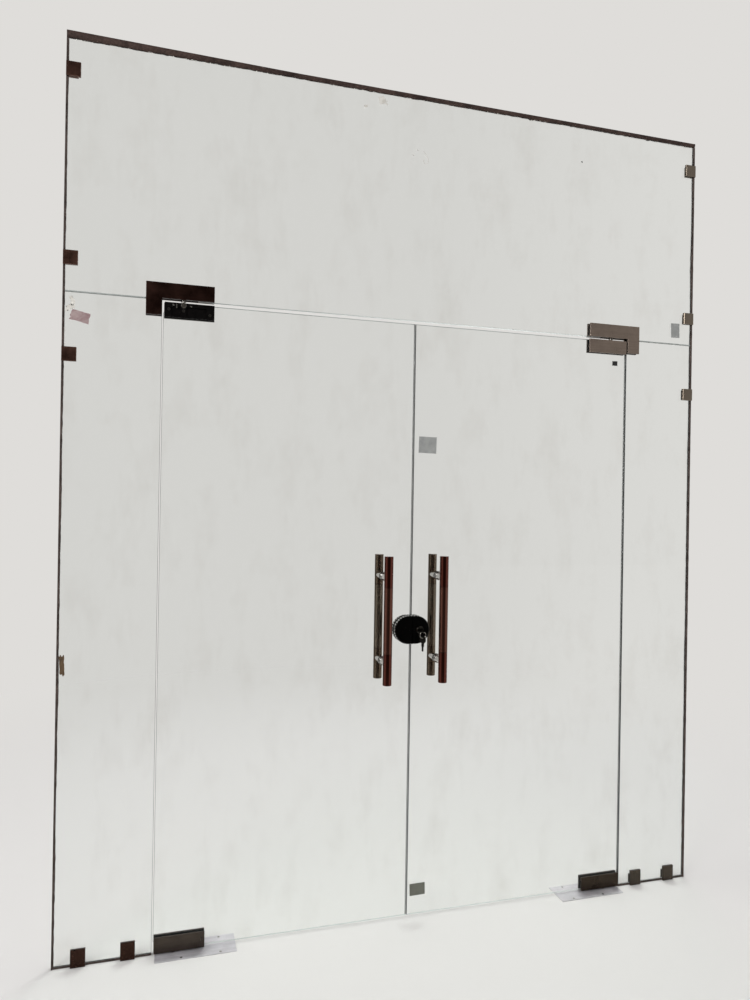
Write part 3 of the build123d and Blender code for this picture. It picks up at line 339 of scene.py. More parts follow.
black_casting = coated("blackened_casting", "#0E0B0B", "#050404", 0.55, 1.6 * mm, 0.5, 0.05)
black_lacquer = coated("gloss_black_lacquer", "#060505", "#030303", 0.12, 6 * mm, 0.02, 0.08)
black_rubber = coated("black_rubber_sheet", "#26282A", "#161718", 0.7, 1.0 * mm, 0.3)
dark_sealant = coated("dark_sealant", "#503F39", "#2A1F1C", 0.62, 7 * mm, 0.8, 0.2)
edge_sealant = coated("dusty_edge_sealant", "#5E524D", "#2F2825", 0.7, 5 * mm, 0.8, 0.15)
grey_label = coated("bare_grey_label", "#A3A4A2", "#8B8D8B", 0.5, 3 * mm, 0.1)
slate_label = coated("bare_slate_label", "#6B6C62", "#5C5D53", 0.5, 3 * mm, 0.1)
pink_label = coated("faded_pink_label", "#AE9D9A", "#86696B", 0.6, 5 * mm, 0.2)
black_tape = coated("black_tape", "#211F20", "#131213", 0.5, 3 * mm, 0.2)
brown_packer = coated("brown_cork_packer", "#6C553C", "#3F3122", 0.85, 2 * mm, 0.8)
dried_paste = coated("dried_white_paste", "#E2DFD8", "#BDB9B0", 0.75, 2 * mm, 0.6)
clear_joint = coated("grey_joint_sealant", "#B9BDBA", "#8B918E", 0.4, 5 * mm, 0.3)
print("coated finishes ready")

# %% [markdown]
# ## Put the finishes on the solids
# Each solid keeps its shape and only gets its material. Covers low on the door, and those indoors
# on the leaves, are darker than the ones overhead, so they have a sheet of their own.

# %% Dress every solid
dress = {
    glass: "overpanel_glass left_sidelight_glass right_sidelight_glass left_leaf_glass right_leaf_glass",
    cover_sheet: "left_corner_patch_cover right_corner_patch_cover right_top_patch_cover "
                 "corner_patch_back_covers",
    low_cover: "left_bottom_patch_cover right_bottom_patch_cover left_patch_back_covers "
               "right_patch_back_covers",
    clip_sheet: "clip_plates",
    plate_sheet: "left_floor_plate right_floor_plate",
    outer_bar: "left_outer_handle right_outer_handle",
    inner_bar: "left_inner_handle right_inner_handle",
    polished_post: "left_handle_posts right_handle_posts thumb_turn",
    turned_steel: "clip_cores top_pivot_pins left_spindle right_spindle corner_patch_screws "
                  "clip_screws right_patch_screws floor_plate_screws",
    dark_screw: "left_patch_screws",
    dark_key: "lock_key spare_key",
    ring_wire: "key_ring",
    dark_barrel: "lock_barrel lock_plug",
    lock_steel: "lock_keeper lock_case lock_bolt",
    galvanised: "floor_spring_boxes",
    black_casting: "left_top_patch_core left_bottom_patch_core right_top_patch_core "
                   "right_bottom_patch_core left_patch_clamps right_patch_clamps "
                   "left_corner_patch_core right_corner_patch_core corner_patch_clamps "
                   "floor_spring_bodies",
    black_lacquer: "left_lock_shells right_lock_shells",
    black_rubber: "left_leaf_gaskets right_leaf_gaskets corner_patch_gaskets clip_gaskets",
    dark_sealant: "ceiling_seal",
    edge_sealant: "edge_seals",
}
dressed = set()
for material, names in dress.items():
    for name in names.split():
        nodes[name].data.materials.clear()
        nodes[name].data.materials.append(material)
        dressed.add(name)
print("dressed", len(dressed), "of", len(nodes), "left bare:", sorted(set(nodes) - dressed))

# %% [markdown]
# ## Tools for made and grown pieces
# Pieces made one by one come from a list of corners. Many are strips: equal rings of corners, joined one
# to the next and closed at both ends. Pieces that repeat are grown by Geometry Nodes: the tree
# makes the shape once and copies it to each place. The result is kept as a plain mesh.

# %% Make a mesh piece
def mesh_piece(name, corners, faces, material, smooth=False):
    """A mesh from its corners and faces, with one material, its normals turned outwards."""
    shape = bpy.data.meshes.new(name)
    shape.from_pydata([tuple(c) for c in corners], [], faces)
    work = bmesh.new()
    work.from_mesh(shape)
    bmesh.ops.remove_doubles(work, verts=work.verts, dist=1e-6)
    bmesh.ops.recalc_face_normals(work, faces=work.faces)
    for face in work.faces:
        face.smooth = smooth
    work.to_mesh(shape)
    work.free()
    shape.materials.append(material)
    piece = bpy.data.objects.new(name, shape)
    bpy.context.scene.collection.objects.link(piece)
    return piece


def strip_faces(rings, first=0):
    """The faces of a strip whose corners are numbered from first, ring by ring."""
    count, last = len(rings[0]), len(rings) - 1
    faces = []
    for low in range(first, first + last * count, count):
        for a in range(count):
            b = (a + 1) % count
            faces.append((low + a, low + b, low + count + b, low + count + a))
    return faces + [tuple(end + a for a in range(count)) for end in (first, first + last * count)]


def strip_piece(name, rings, material, smooth=False):
    return mesh_piece(name, sum(rings, []), strip_faces(rings), material, smooth)


print("mesh tools ready")

# %% Grow a piece with a tree
def chained(places):
    """Edges that join each place to the next."""
    return [(i, i + 1) for i in range(len(places) - 1)]


def grow(name, tree, places, edges=(), sizes=None):
    """Runs a geometry tree on places and keeps the result as a plain mesh."""
    start = bpy.data.meshes.new(name + "_places")
    start.from_pydata([tuple(p) for p in places], edges, [])
    piece = bpy.data.objects.new(name, start)
    bpy.context.scene.collection.objects.link(piece)
    modifier = piece.modifiers.new("grow", "NODES")
    modifier.node_group = tree
    for item in tree.interface.items_tree:
        if item.item_type == "SOCKET" and item.in_out == "INPUT" and item.name in (sizes or {}):
            modifier[item.identifier] = sizes[item.name]
    graph = bpy.context.evaluated_depsgraph_get()
    grown = bpy.data.meshes.new_from_object(piece.evaluated_get(graph), depsgraph=graph)
    piece.modifiers.remove(modifier)
    piece.data = grown
    grown.name = name
    bpy.data.meshes.remove(start)
    print(name, len(grown.polygons), "faces")
    return piece


def geometry_tree(name, sizes, material):
    """A tree with a geometry input, named sizes, and an end that makes plain mesh."""
    tree = bpy.data.node_groups.new(name, "GeometryNodeTree")
    tree.interface.new_socket("Places", in_out="INPUT", socket_type="NodeSocketGeometry")
    for size, value in sizes.items():
        socket = tree.interface.new_socket(size, in_out="INPUT", socket_type="NodeSocketFloat")
        socket.default_value = value
    tree.interface.new_socket("Made", in_out="OUTPUT", socket_type="NodeSocketGeometry")
    start = put(tree, "NodeGroupInput")
    end = put(tree, "NodeGroupOutput")
    real = put(tree, "GeometryNodeRealizeInstances")
    coat = put(tree, "GeometryNodeSetMaterial", {
        "Geometry": real.outputs[0], "Material": material})
    tree.links.new(coat.outputs[0], end.inputs["Made"])
    return tree, start.outputs, real.inputs["Geometry"]


print("growing tools ready")

# %% Name what the trees do often
def arrow(tree, **parts):
    """A vector from its X, Y and Z. What isn't given is nought."""
    return put(tree, "ShaderNodeCombineXYZ", parts).outputs[0]


def moved(tree, shape, **how):
    """A shape after a Translation, Rotation or Scale."""
    return put(tree, "GeometryNodeTransform", {"Geometry": shape, **how}).outputs[0]


def pushed(tree, shape, offset):
    """A shape with each of its points pushed by its own offset."""
    return put(tree, "GeometryNodeSetPosition", {"Geometry": shape, "Offset": offset}).outputs[0]


def spaced_line(tree, places, spacing):
    """The line through the places, with a point at each spacing."""
    path = put(tree, "GeometryNodeMeshToCurve", {"Mesh": places})
    return put(tree, "GeometryNodeResampleCurve", {
        "Curve": path.outputs[0], "Length": spacing}, mode="LENGTH").outputs[0]


def any_vector(tree, least, most, seed):
    """A random vector for each place."""
    return put(tree, "FunctionNodeRandomValue", {
        "Min": least, "Max": most, "Seed": seed}, data_type="FLOAT_VECTOR").outputs["Value"]


print("tree tools ready")

# %% [markdown]
# ## Countersunk screws in the floor plates
# Eight cross-head screws hold the two floor plates. A tree builds one screw: a cone for the head,
# a shank, and a cross cut out of the top. It sets a copy at each place and turns each by its own
# angle, because no fitter lines them up.

# %% Build the screw tree
def screw_tree():
    sizes = {"head radius": 4.5 * mm, "shank radius": 2.5 * mm, "head depth": 2.0 * mm,
             "shank length": 7.0 * mm, "cross width": 1.2 * mm, "cross depth": 1.3 * mm}
    tree, size, end = geometry_tree("countersunk_screw", sizes, bright_screw)
    head = put(tree, "GeometryNodeMeshCone", {
        "Vertices": 24, "Radius Top": size["head radius"], "Radius Bottom": size["shank radius"],
        "Depth": size["head depth"]})
    down = maths(tree, "MULTIPLY", size["head depth"], -1.0)
    sunk = moved(tree, head.outputs["Mesh"], Translation=arrow(tree, Z=down))
    long = maths(tree, "MULTIPLY", size["head radius"], 1.25)
    tall = maths(tree, "MULTIPLY", size["cross depth"], 2.0)
    wide = size["cross width"]
    one_way, other_way = (put(tree, "GeometryNodeMeshCube", {"Size": arms}) for arms in (
        arrow(tree, X=long, Y=wide, Z=tall), arrow(tree, X=wide, Y=long, Z=tall)))
    cut = put(tree, "GeometryNodeMeshBoolean", {
        "Mesh 1": sunk, "Mesh 2": one_way.outputs[0]}, operation="DIFFERENCE")
    tree.links.new(other_way.outputs[0], cut.inputs["Mesh 2"])
    shank = put(tree, "GeometryNodeMeshCylinder", {
        "Vertices": 16, "Radius": size["shank radius"], "Depth": size["shank length"]})
    half = maths(tree, "MULTIPLY_ADD", size["shank length"], -0.5, down)
    stem = moved(tree, shank.outputs["Mesh"], Translation=arrow(tree, Z=half))
    screw = put(tree, "GeometryNodeJoinGeometry", {"Geometry": cut.outputs["Mesh"]})
    tree.links.new(stem, screw.inputs["Geometry"])
    turns = any_vector(tree, (0.0, 0.0, 0.0), (0.0, 0.0, 1.57), seed=7)
    set_in = put(tree, "GeometryNodeInstanceOnPoints", {
        "Points": size["Places"], "Instance": screw.outputs[0], "Rotation": turns})
    tree.links.new(set_in.outputs[0], end)
    return tree


plate_low, plate_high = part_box("right_floor_plate")
print("floor plate from", [round(v, 3) for v in plate_low], "to", [round(v, 3) for v in plate_high])

# %% Set the screws
screw_places = [
    (side * (leaf_edge - along * mm), across * mm, plate_high.z)
    for side in (-1, 1) for along in (91.0, 219.0) for across in (-46.0, 46.0)]
screws = grow("cross_head_screws", screw_tree(), screw_places)
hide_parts("floor_plate_screws")
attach(screws, "surround")
print(len(screw_places), "screws set")

# %% [markdown]
# ## The lock's reeded rim
# A black sleeve wraps the side of each lock half, and chromed ribs on it break the reflection
# into bright dashes. The sleeve is a band along the half-round outline. The ribs follow the same
# line, so a tree spaces them along it.

# %% Trace the half-round outline
def half_round(side, radius, steps=28):
    """Points of the lock's outline seen from the front, from the meeting line round and back."""
    top = [(side * lock_edge, radius), (side * lock_flat * 0.5, radius)]
    arc = [(side * (lock_flat + radius * math.sin(t)), radius * math.cos(t))
           for t in (math.pi * i / steps for i in range(steps + 1))]
    low = [(side * lock_flat * 0.5, -radius), (side * lock_edge, -radius)]
    return [Vector((x, 0.0, lock_place.z + z)) for x, z in top + arc + low]


print("outline has", len(half_round(1, lock_round)), "points")

# %% Build the sleeve and the rib tree
def rim_sleeve(name, side, face):
    """A thin black band round one half of the lock. face is -1 outdoors and 1 indoors."""
    near, far, thick, rounded = 8.5 * mm, 23.5 * mm, 0.5 * mm, 0.6 * mm
    ring = [(lock_round + hair, near), (lock_round + thick, near + rounded),
            (lock_round + thick, far - rounded), (lock_round + hair, far)]
    lines = [[p + Vector((0, face * depth, 0)) for p in half_round(side, radius)]
             for radius, depth in ring]
    count = len(lines[0])
    faces = [(a * count + i, b * count + i, b * count + i + 1, a * count + i + 1)
             for a, b in ((0, 1), (1, 2), (2, 3), (3, 0)) for i in range(count - 1)]
    faces += [tuple(a * count + i for a in range(4)) for i in (0, count - 1)]
    return mesh_piece(name, sum(lines, []), faces, black_lacquer, smooth=True)


def rib_tree():
    sizes = {"spacing": 10.0 * mm, "half width": 2.4 * mm, "rib length": 13.0 * mm}
    tree, size, end = geometry_tree("rim_ribs", sizes, chrome_rim)
    rib = put(tree, "GeometryNodeMeshCylinder", {
        "Vertices": 12, "Radius": size["half width"], "Depth": size["rib length"]})
    laid = moved(tree, rib.outputs["Mesh"], Rotation=(math.pi / 2, 0.0, 0.0))
    along = put(tree, "FunctionNodeAlignRotationToVector", {
        "Vector": put(tree, "GeometryNodeInputTangent").outputs[0]}, axis="X", pivot_axis="Y")
    set_in = put(tree, "GeometryNodeInstanceOnPoints", {
        "Points": spaced_line(tree, size["Places"], size["spacing"]),
        "Instance": moved(tree, laid, Scale=(1.0, 1.0, 0.25)), "Rotation": along.outputs[0]})
    tree.links.new(set_in.outputs[0], end)
    return tree


ribs = rib_tree()
print("rim tools ready")

# %% Fit rims on both halves, outdoors and indoors
rib_depth, rib_stands_off = 16 * mm, 0.5 * mm
for side, body in ((-1, "left_leaf"), (1, "right_leaf")):
    for face, place in ((-1, "outdoors"), (1, "indoors")):
        sleeve = rim_sleeve(f"{body}_rim_{place}", side, face)
        outline = [p + Vector((0, face * rib_depth, 0))
                   for p in half_round(side, lock_round + rib_stands_off)]
        reeding = grow(f"{body}_rim_ribs_{place}", ribs, outline, chained(outline))
        for piece in (sleeve, reeding):
            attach(piece, body)

# %% [markdown]
# ## A spare key that hangs askew
# Both keys share one ring. In the solid model they hang parallel, but a loose key turns on its
# wire, and this one shows its broad side. It is the solid key turned about the upright line
# through its hole. The hole is 7 mm wide and the wire 1.8 mm thick, so the wire still passes.

# %% Turn the spare key
def turned_key(name, solid, askew):
    """A copy of a solid, turned about the upright line through the middle of its box."""
    low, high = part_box(solid)
    middle = Matrix.Translation(((low.x + high.x) / 2, (low.y + high.y) / 2, 0.0))
    about = middle @ Matrix.Rotation(askew, 4, "Z") @ middle.inverted() @ nodes[solid].matrix_world
    shape = nodes[solid].data
    return mesh_piece(name, [about @ v.co for v in shape.vertices],
                      [tuple(face.vertices) for face in shape.polygons], dark_key)


askew_key = turned_key("askew_spare_key", "spare_key", math.radians(50))
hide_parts("spare_key")
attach(askew_key, "key_and_turn")
print("spare key:", len(askew_key.data.polygons), "faces")

# %% [markdown]
# ## The open patch
# The left leaf's top patch has lost its cover, so its black casting shows. On it are a turned
# bush round the pivot, two short adjusting screws, and a small bent clip that once held the cover.

# %% Turn the bush and the adjusting screws
def turned(name, centre, profile, material, steps):
    """Turns a profile round an axis square to the glass. Each of its points is a radius and how
    far it stands off the patch, in mm."""
    angles = [2 * math.pi * i / steps for i in range(steps)]
    rings = [[Vector((centre[0] + radius * mm * math.cos(angle), -(patch_face + off * mm),
                      centre[1] + radius * mm * math.sin(angle))) for angle in angles]
             for radius, off in profile]
    return strip_piece(name, rings, material)


core_low, core_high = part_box("left_top_patch_core")
hinge_edge, leaf_top = core_low.x - 4.0 * mm, core_high.z - 0.5 * mm
bush_profile = [(8.6, 0), (8.6, 0.5), (8.0, 0.9), (4.2, 0.9), (3.8, 0.3)]
stud_profile = [(2.6, 0), (2.6, 0.8), (2.2, 1.1), (1.2, 1.1), (1.1, 0.5)]
for name, along, down, profile, material, steps in (
        ("pivot_bush", 65, 7.5, bush_profile, lock_steel, 32),
        ("adjusting_screw_0", 31.8, 7.4, stud_profile, bright_screw, 20),
        ("adjusting_screw_1", 89.4, 8.9, stud_profile, bright_screw, 20)):
    place = (hinge_edge + along * mm, leaf_top - down * mm)
    small_part = turned(name, place, profile, material, steps)
    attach(small_part, "left_leaf")
print("bush and screws turned")

# %% Bend the clip
def bent_clip(name, x, top, tall, wide):
    """A strip of spring steel with its two ends bowed off the casting."""
    steps, thick, bow = 14, 0.35 * mm, 0.7 * mm
    rings = []
    for i in range(steps + 1):
        t = i / steps
        off = patch_face + hair + bow * abs(2 * t - 1) ** 2.5
        rings.append([(x + dx, -depth, top - tall * t) for dx, depth in (
            (-wide / 2, off), (wide / 2, off), (wide / 2, off + thick), (-wide / 2, off + thick))])
    return strip_piece(name, rings, bright_screw)


clip = bent_clip("cover_spring_clip", hinge_edge + 42.5 * mm, leaf_top - 3 * mm, 15 * mm, 4 * mm)
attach(clip, "left_leaf")
print("clip bent")

# %% [markdown]
# ## Hand-laid sealant along the ceiling
# The top joint was filled by hand, so its lower edge wanders and drips, and it is deepest on the
# left, where the ceiling rises. A strip is drawn round the top of the pane in small steps, and
# smooth noise moves each step's lower edge and face. It stands in for the straight bead.

# %% Lay the sealant
seal_low, seal_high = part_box("ceiling_seal")


def ceiling_height(x):
    """Top of the bead, which follows the ceiling."""
    knees = [(-1.2, 3.014), (-0.78, 3.009), (-0.44, 3.005), (1.2, 3.005)]
    for (x0, z0), (x1, z1) in zip(knees, knees[1:]):
        if x <= x1:
            return z0 + (z1 - z0) * (x - x0) / (x1 - x0)
    return knees[-1][1]


def laid_sealant(name, steps=620):
    """A lumpy bead round the pane's top edge, open where the glass fills it."""
    rings = []
    for i in range(steps + 1):
        x = seal_low.x + (seal_high.x - seal_low.x) * i / steps
        top = ceiling_height(x) - 0.2 * mm
        wander = noise.noise((x * 9, 0.0, 3.1)) * 2.4 * mm + noise.noise((x * 46, 5.0, 0.0)) * 1.5 * mm
        drip = max(0.0, noise.noise((x * 23, 9.0, 1.0)) - 0.42) * 14 * mm
        low = pane_top - 2.6 * mm + wander - drip
        bulge = 0.8 * mm * noise.noise((x * 31, 2.0, 7.0))
        outdoors = [(9.9 * mm, top), (9.6 * mm + min(bulge, 0), (top + low) / 2),
                    (7.4 * mm + bulge, low + 0.9 * mm), (glass_face + hair, low)]
        indoors = [(glass_face + hair, low + 0.5 * mm), (7.6 * mm - bulge, low + 1.5 * mm),
                   (9.6 * mm, (top + low) / 2), (9.9 * mm, top)]
        rings.append([(x, -depth, z) for depth, z in outdoors] + [(x, depth, z) for depth, z in indoors])
    return strip_piece(name, rings, dark_sealant, smooth=True)


ceiling_bead = laid_sealant("hand_laid_ceiling_bead")
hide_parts("ceiling_seal")
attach(ceiling_bead, "surround")
print("ceiling bead:", len(ceiling_bead.data.polygons), "faces")

# %% [markdown]
# ## Wall and floor sealant
# The joints at the walls were filled the same way, between the clips, so the bead's edge on the
# glass wanders from a hair to a few millimetres. Under the side panels the joint is struck off
# flat. Each length is a strip with one cross-section, whose corners wander along the walls.

# %% Lay the wall and floor beads
wall_x, pane_side, door_side = 1200 * mm, 1195 * mm, 892 * mm
clip_half = 23.3 * mm
wall_stops = [0.0, 1975 * mm, 2285 * mm, 2890 * mm, 2990 * mm]
floor_stops = [door_side, 967 * mm, 1120 * mm, pane_side]


def between_clips(stops):
    """The lengths from stop to stop, shortened by half a clip wherever a clip stands at an end."""
    last = len(stops) - 2
    return [(stops[i] + (clip_half if i else 0.0), stops[i + 1] - (clip_half if i < last else 0.0))
            for i in range(last + 1)]


def edge_beads(name):
    corners, faces = [], []

    def strip(rings):
        faces.extend(strip_faces(rings, len(corners)))
        corners.extend(sum(rings, []))

    for side in (-1, 1):
        for low, high in between_clips(wall_stops):
            steps = max(4, round((high - low) / (6 * mm)))
            rings = []
            for i in range(steps + 1):
                z = low + (high - low) * i / steps
                slow = noise.noise((z * 5, side * 4.0, 2.0))
                quick = noise.noise((z * 38, side * 7.0, 0.0))
                edge = pane_side - max(0.4 * mm, (1.6 + 2.4 * slow + 1.1 * quick) * mm)
                swell = 9.0 * mm + 0.8 * mm * quick
                rings.append([(side * x, y, z) for x, y in (
                    (wall_x, -swell), (wall_x, swell), (edge, glass_face + hair),
                    (pane_side, glass_face), (pane_side, -glass_face), (edge, -glass_face - hair))])
            strip(rings)
        for start, stop in between_clips(floor_stops):
            strip([[(side * x, y, z) for y, z in (
                (-glass_face, 0.0), (glass_face, 0.0), (glass_face, 6 * mm), (-glass_face, 6 * mm))]
                for x in (start, stop)])
    return mesh_piece(name, corners, faces, edge_sealant)


edge_bead = edge_beads("hand_laid_edge_beads")
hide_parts("edge_seals")
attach(edge_bead, "surround")
print("edge beads:", len(edge_bead.data.polygons), "faces")

# %% [markdown]
# ## White crumbs under the bead
# Bits of white filler from the ceiling stuck to the glass under the bead and beside the left wall.
# No two are alike and there are many, so a tree makes one lump, rough and flat, and sets it along
# a line with its own size, turn and drop each time. A random choice leaves half of them out.

# %% Scatter the crumbs
def crumb_tree():
    sizes = {"spacing": 6.0 * mm, "largest crumb": 2.3 * mm, "share kept": 0.5, "drop": 3.0 * mm}
    tree, size, end = geometry_tree("filler_crumbs", sizes, dried_paste)
    spaced = spaced_line(tree, size["Places"], size["spacing"])
    lowest = arrow(tree, Z=maths(tree, "MULTIPLY", size["drop"], -1.0))
    sideways = arrow(tree, X=size["drop"])
    kept = put(tree, "FunctionNodeRandomValue", {
        "Probability": size["share kept"], "Seed": 11}, data_type="BOOLEAN")
    lump = put(tree, "GeometryNodeMeshIcoSphere", {"Radius": size["largest crumb"], "Subdivisions": 2})
    rough = put(tree, "ShaderNodeTexNoise", {"Scale": 600.0, "Detail": 1.0})
    dent = put(tree, "ShaderNodeVectorMath", {
        0: rough.outputs["Color"], 1: (0.5, 0.5, 0.5)}, operation="SUBTRACT")
    deep = put(tree, "ShaderNodeVectorMath", {
        0: dent.outputs[0], "Scale": size["largest crumb"]}, operation="SCALE")
    dented = pushed(tree, lump.outputs["Mesh"], deep.outputs[0])
    own_size = put(tree, "FunctionNodeRandomValue", {2: 0.25, 3: 1.0, "Seed": 2}, data_type="FLOAT")
    set_in = put(tree, "GeometryNodeInstanceOnPoints", {
        "Points": pushed(tree, spaced, any_vector(tree, lowest, sideways, seed=5)),
        "Selection": kept.outputs[3], "Instance": moved(tree, dented, Scale=(1.0, 0.35, 0.8)),
        "Rotation": any_vector(tree, (0.0, 0.0, 0.0), (0.0, 6.28, 0.0), seed=9),
        "Scale": own_size.outputs[1]})
    tree.links.new(set_in.outputs[0], end)
    return tree


crumbs_made = crumb_tree()
over_low, over_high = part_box("overpanel_glass")
under_bead, wall_line = over_high.z - 5.0 * mm, over_low.x + 3 * mm
for name, ends, sizes in (
        ("crumbs_under_bead",
         [(over_low.x + 12 * mm, under_bead), (over_high.x - 12 * mm, under_bead)], {}),
        ("crumbs_at_left_wall",
         [(wall_line, 1.99), (wall_line, 2.06)], {"spacing": 3.0 * mm, "drop": 2.0 * mm})):
    places = [(x, stuck_y, z) for x, z in ends]
    crumbs = grow(name, crumbs_made, places, chained(places), sizes)
    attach(crumbs, "surround")

# %% [markdown]
# ## Butt joints beside the leaves
# A thin grey joint fills the 2 mm between each side panel and the over-panel. It is concave,
# because a finger smoothed it.

# %% Smooth the two joints
side_low, side_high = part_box("right_sidelight_glass")


def butt_joint(name, side, steps=60):
    """A smoothed joint between two edges of glass, hollow on both faces."""
    low, high, face = side_high.z, over_low.z, 5.4 * mm
    start, stop = side_low.x + 53 * mm, side_high.x - 0.5 * mm
    middle = (low + high) / 2
    rings = []
    for i in range(steps + 1):
        x = side * (start + (stop - start) * i / steps)
        hollow = 0.5 * mm + 0.25 * mm * noise.noise((x * 60, 0, 0))
        rings.append([(x, y, z) for y, z in (
            (-face, low), (-face + hollow, middle), (-face, high),
            (face, high), (face - hollow, middle), (face, low))])
    return strip_piece(name, rings, clear_joint, smooth=True)


for side, place in ((-1, "left"), (1, "right")):
    joint = butt_joint(f"{place}_butt_joint", side)
    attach(joint, "surround")
print("joint is", round((over_low.z - side_high.z) / mm, 2), "mm high")

# %% [markdown]
# ## Labels, tape and leftovers on the glass
# The panes still carry bare labels from the works, a scrap of tape, a cork packer at the left
# edge and shreds of white film. Each is a thin sheet with its own outline: a label has straight
# sides and a lifted corner, while a torn scrap has an outline that wanders.

# %% Cut a thin sheet that lies on the glass
def thin_sheet(name, span_x, span_z, material, ragged, lift, turn, cells=14, thick=0.25 * mm):
    """A thin sheet on the outdoor face. ragged moves its outline, and lift curls one corner."""
    centre_x, centre_z = sum(span_x) / 2 * mm, sum(span_z) / 2 * mm
    wide, tall = (span_x[1] - span_x[0]) * mm, (span_z[1] - span_z[0]) * mm
    corners = []
    for layer in (0, 1):
        for i in range(cells + 1):
            for j in range(cells + 1):
                u, v = 2 * i / cells - 1, 2 * j / cells - 1
                wander = noise.noise((u * 2.6 + centre_x * 40, v * 2.6, centre_z * 9))
                tear = 1 + ragged * max(abs(u), abs(v)) * wander
                curl = lift * max(0.0, (u + v) / 2 - 0.45) ** 2
                x, z = u * wide / 2 * tear, v * tall / 2 * tear
                x, z = x * math.cos(turn) - z * math.sin(turn), x * math.sin(turn) + z * math.cos(turn)
                depth = glass_face + 0.03 * mm + curl + layer * thick
                corners.append((centre_x + x, -depth, centre_z + z))
    row = cells + 1
    half = row * row
    faces = []
    for i in range(cells):
        for j in range(cells):
            quad = (i * row + j, (i + 1) * row + j, (i + 1) * row + j + 1, i * row + j + 1)
            faces += [quad, tuple(half + k for k in reversed(quad))]
    rim = [i * row for i in range(row)] + [cells * row + j for j in range(1, row)]
    rim += [i * row + cells for i in range(cells - 1, -1, -1)] + list(range(cells - 1, 0, -1))
    faces += [(a, b, half + b, half + a) for a, b in zip(rim, rim[1:] + rim[:1])]
    return mesh_piece(name, corners, faces, material)


print("sheet tool ready")

# %% Stick them on
# Name, its spans along X and Z in mm, finish, body, raggedness, lift of one corner, turn.
sheets = [
    ("grey_label_high", (1100, 1140), (2205, 2263), grey_label, "surround", 0.02, 0.004, 0.03),
    ("grey_label_middle", (20, 89), (1698, 1758), grey_label, "right_leaf", 0.01, 0.003, -0.02),
    ("slate_label_low", (12, 71), (77, 121), slate_label, "right_leaf", 0.01, 0.002, 0.02),
    ("tape_square", (828, 851), (2072, 2090), black_tape, "right_leaf", 0.1, 0.0, 0.0),
    ("dark_speck", (675, 680), (2856, 2862), black_tape, "surround", 0.5, 0.0, 0.3),
    ("pink_label", (-1175, -1117), (2082, 2116), pink_label, "surround", 0.12, 0.003, -0.22),
    ("film_shred_high", (-1176, -1164), (2134, 2161), dried_paste, "surround", 0.9, 0.0, 0.35),
    ("film_shred_low", (-1190, -1166), (2118, 2134), dried_paste, "surround", 0.9, 0.0, 0.5),
    ("film_scrap", (-153, -126), (2951, 2976), dried_paste, "surround", 0.8, 0.004, 0.2),
    ("film_scrap_small", (-208, -196), (2930, 2937), dried_paste, "surround", 0.8, 0.0, 0.4),
    ("cork_packer", (-1191, -1176), (945, 1005), brown_packer, "surround", 0.3, 0.0, 0.06),
]
for name, span_x, span_z, material, body, ragged, lift, turn in sheets:
    sheet = thin_sheet(name, span_x, span_z, material, ragged, lift, turn)
    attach(sheet, body)
print(len(sheets), "sheets on the glass")

# %% [markdown]
# ## Old adhesive strokes
# High on the over-panel are dabs and a hook of dried adhesive where a poster hung. A stroke
# follows a line, so a tree sweeps a small profile along it, flattens it on the glass, and lets
# noise make it swell and thin.

# %% Build the stroke tree
def stroke_tree():
    tree, size, end = geometry_tree("adhesive_stroke", {"stroke radius": 1.2 * mm}, dried_paste)
    lumps = put(tree, "ShaderNodeTexNoise", {"Scale": 90.0, "Detail": 2.0})
    swell = remap(tree, lumps.outputs["Fac"], most_noise, (0.35, 1.2))
    profile = put(tree, "GeometryNodeCurvePrimitiveCircle", {"Resolution": 8, "Radius": 1.0})
    swept = put(tree, "GeometryNodeCurveToMesh", {
        "Curve": spaced_line(tree, size["Places"], 2.0 * mm),
        "Profile Curve": profile.outputs["Curve"],
        "Scale": maths(tree, "MULTIPLY", swell, size["stroke radius"]), "Fill Caps": True})
    flat = moved(tree, swept.outputs[0], Scale=(1.0, 0.3, 1.0))
    tree.links.new(moved(tree, flat, Translation=(0.0, stuck_y, 0.0)), end)
    return tree


strokes = [
    [(-7, 2808), (-3, 2803), (1, 2804)],
    [(-24, 2786), (-19, 2783), (-17, 2787)],
    [(-31, 2751), (-26, 2747)],
    [(19, 2805), (29, 2792), (39, 2775), (37, 2763), (26, 2758), (20, 2766), (21, 2773)],
]
places, edges = [], []
for stroke in strokes:
    first = len(places)
    places += [(x * mm, 0.0, z * mm) for x, z in stroke]
    edges += [(first + a, first + b) for a, b in chained(stroke)]
dried = grow("dried_adhesive_strokes", stroke_tree(), places, edges)
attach(dried, "surround")

# %% [markdown]
# ## Stage, light and camera
# The door stands on a plain pale floor. The background is pale because rays that look, mirror or
# pass through glass see a pale world, and far from the door the floor takes the same colour, so
# no horizon shows. Near the door the floor is a real surface and keeps the shadow.
# What metal mirrors isn't even: dark stretches of the world stand in front and at both sides,
# as a studio hangs flags there, and they give round bars and posts their dark and light edges.
# The far floor mirrors the same way, so that no line shows where it meets the world.

# %% Make the background that rays see
pale, grey, dark = "#DFDDDA", "#85817F", "#504E4C"
# Headings in degrees from straight out of the door, positive to the right, and what hangs there.
flags = [(-160, pale), (-134, dark), (-116, dark), (-98, pale), (-70, pale), (-52, grey),
         (-34, dark), (20, dark), (40, pale), (112, pale), (132, dark), (150, pale)]


def rays_that_see(tree, path):
    """One for rays that look, mirror or pass through glass, and nought for rays that light."""
    seen = maths(tree, "MAXIMUM", path["Is Camera Ray"], path["Is Glossy Ray"])
    return maths(tree, "MAXIMUM", seen, path["Is Transmission Ray"])


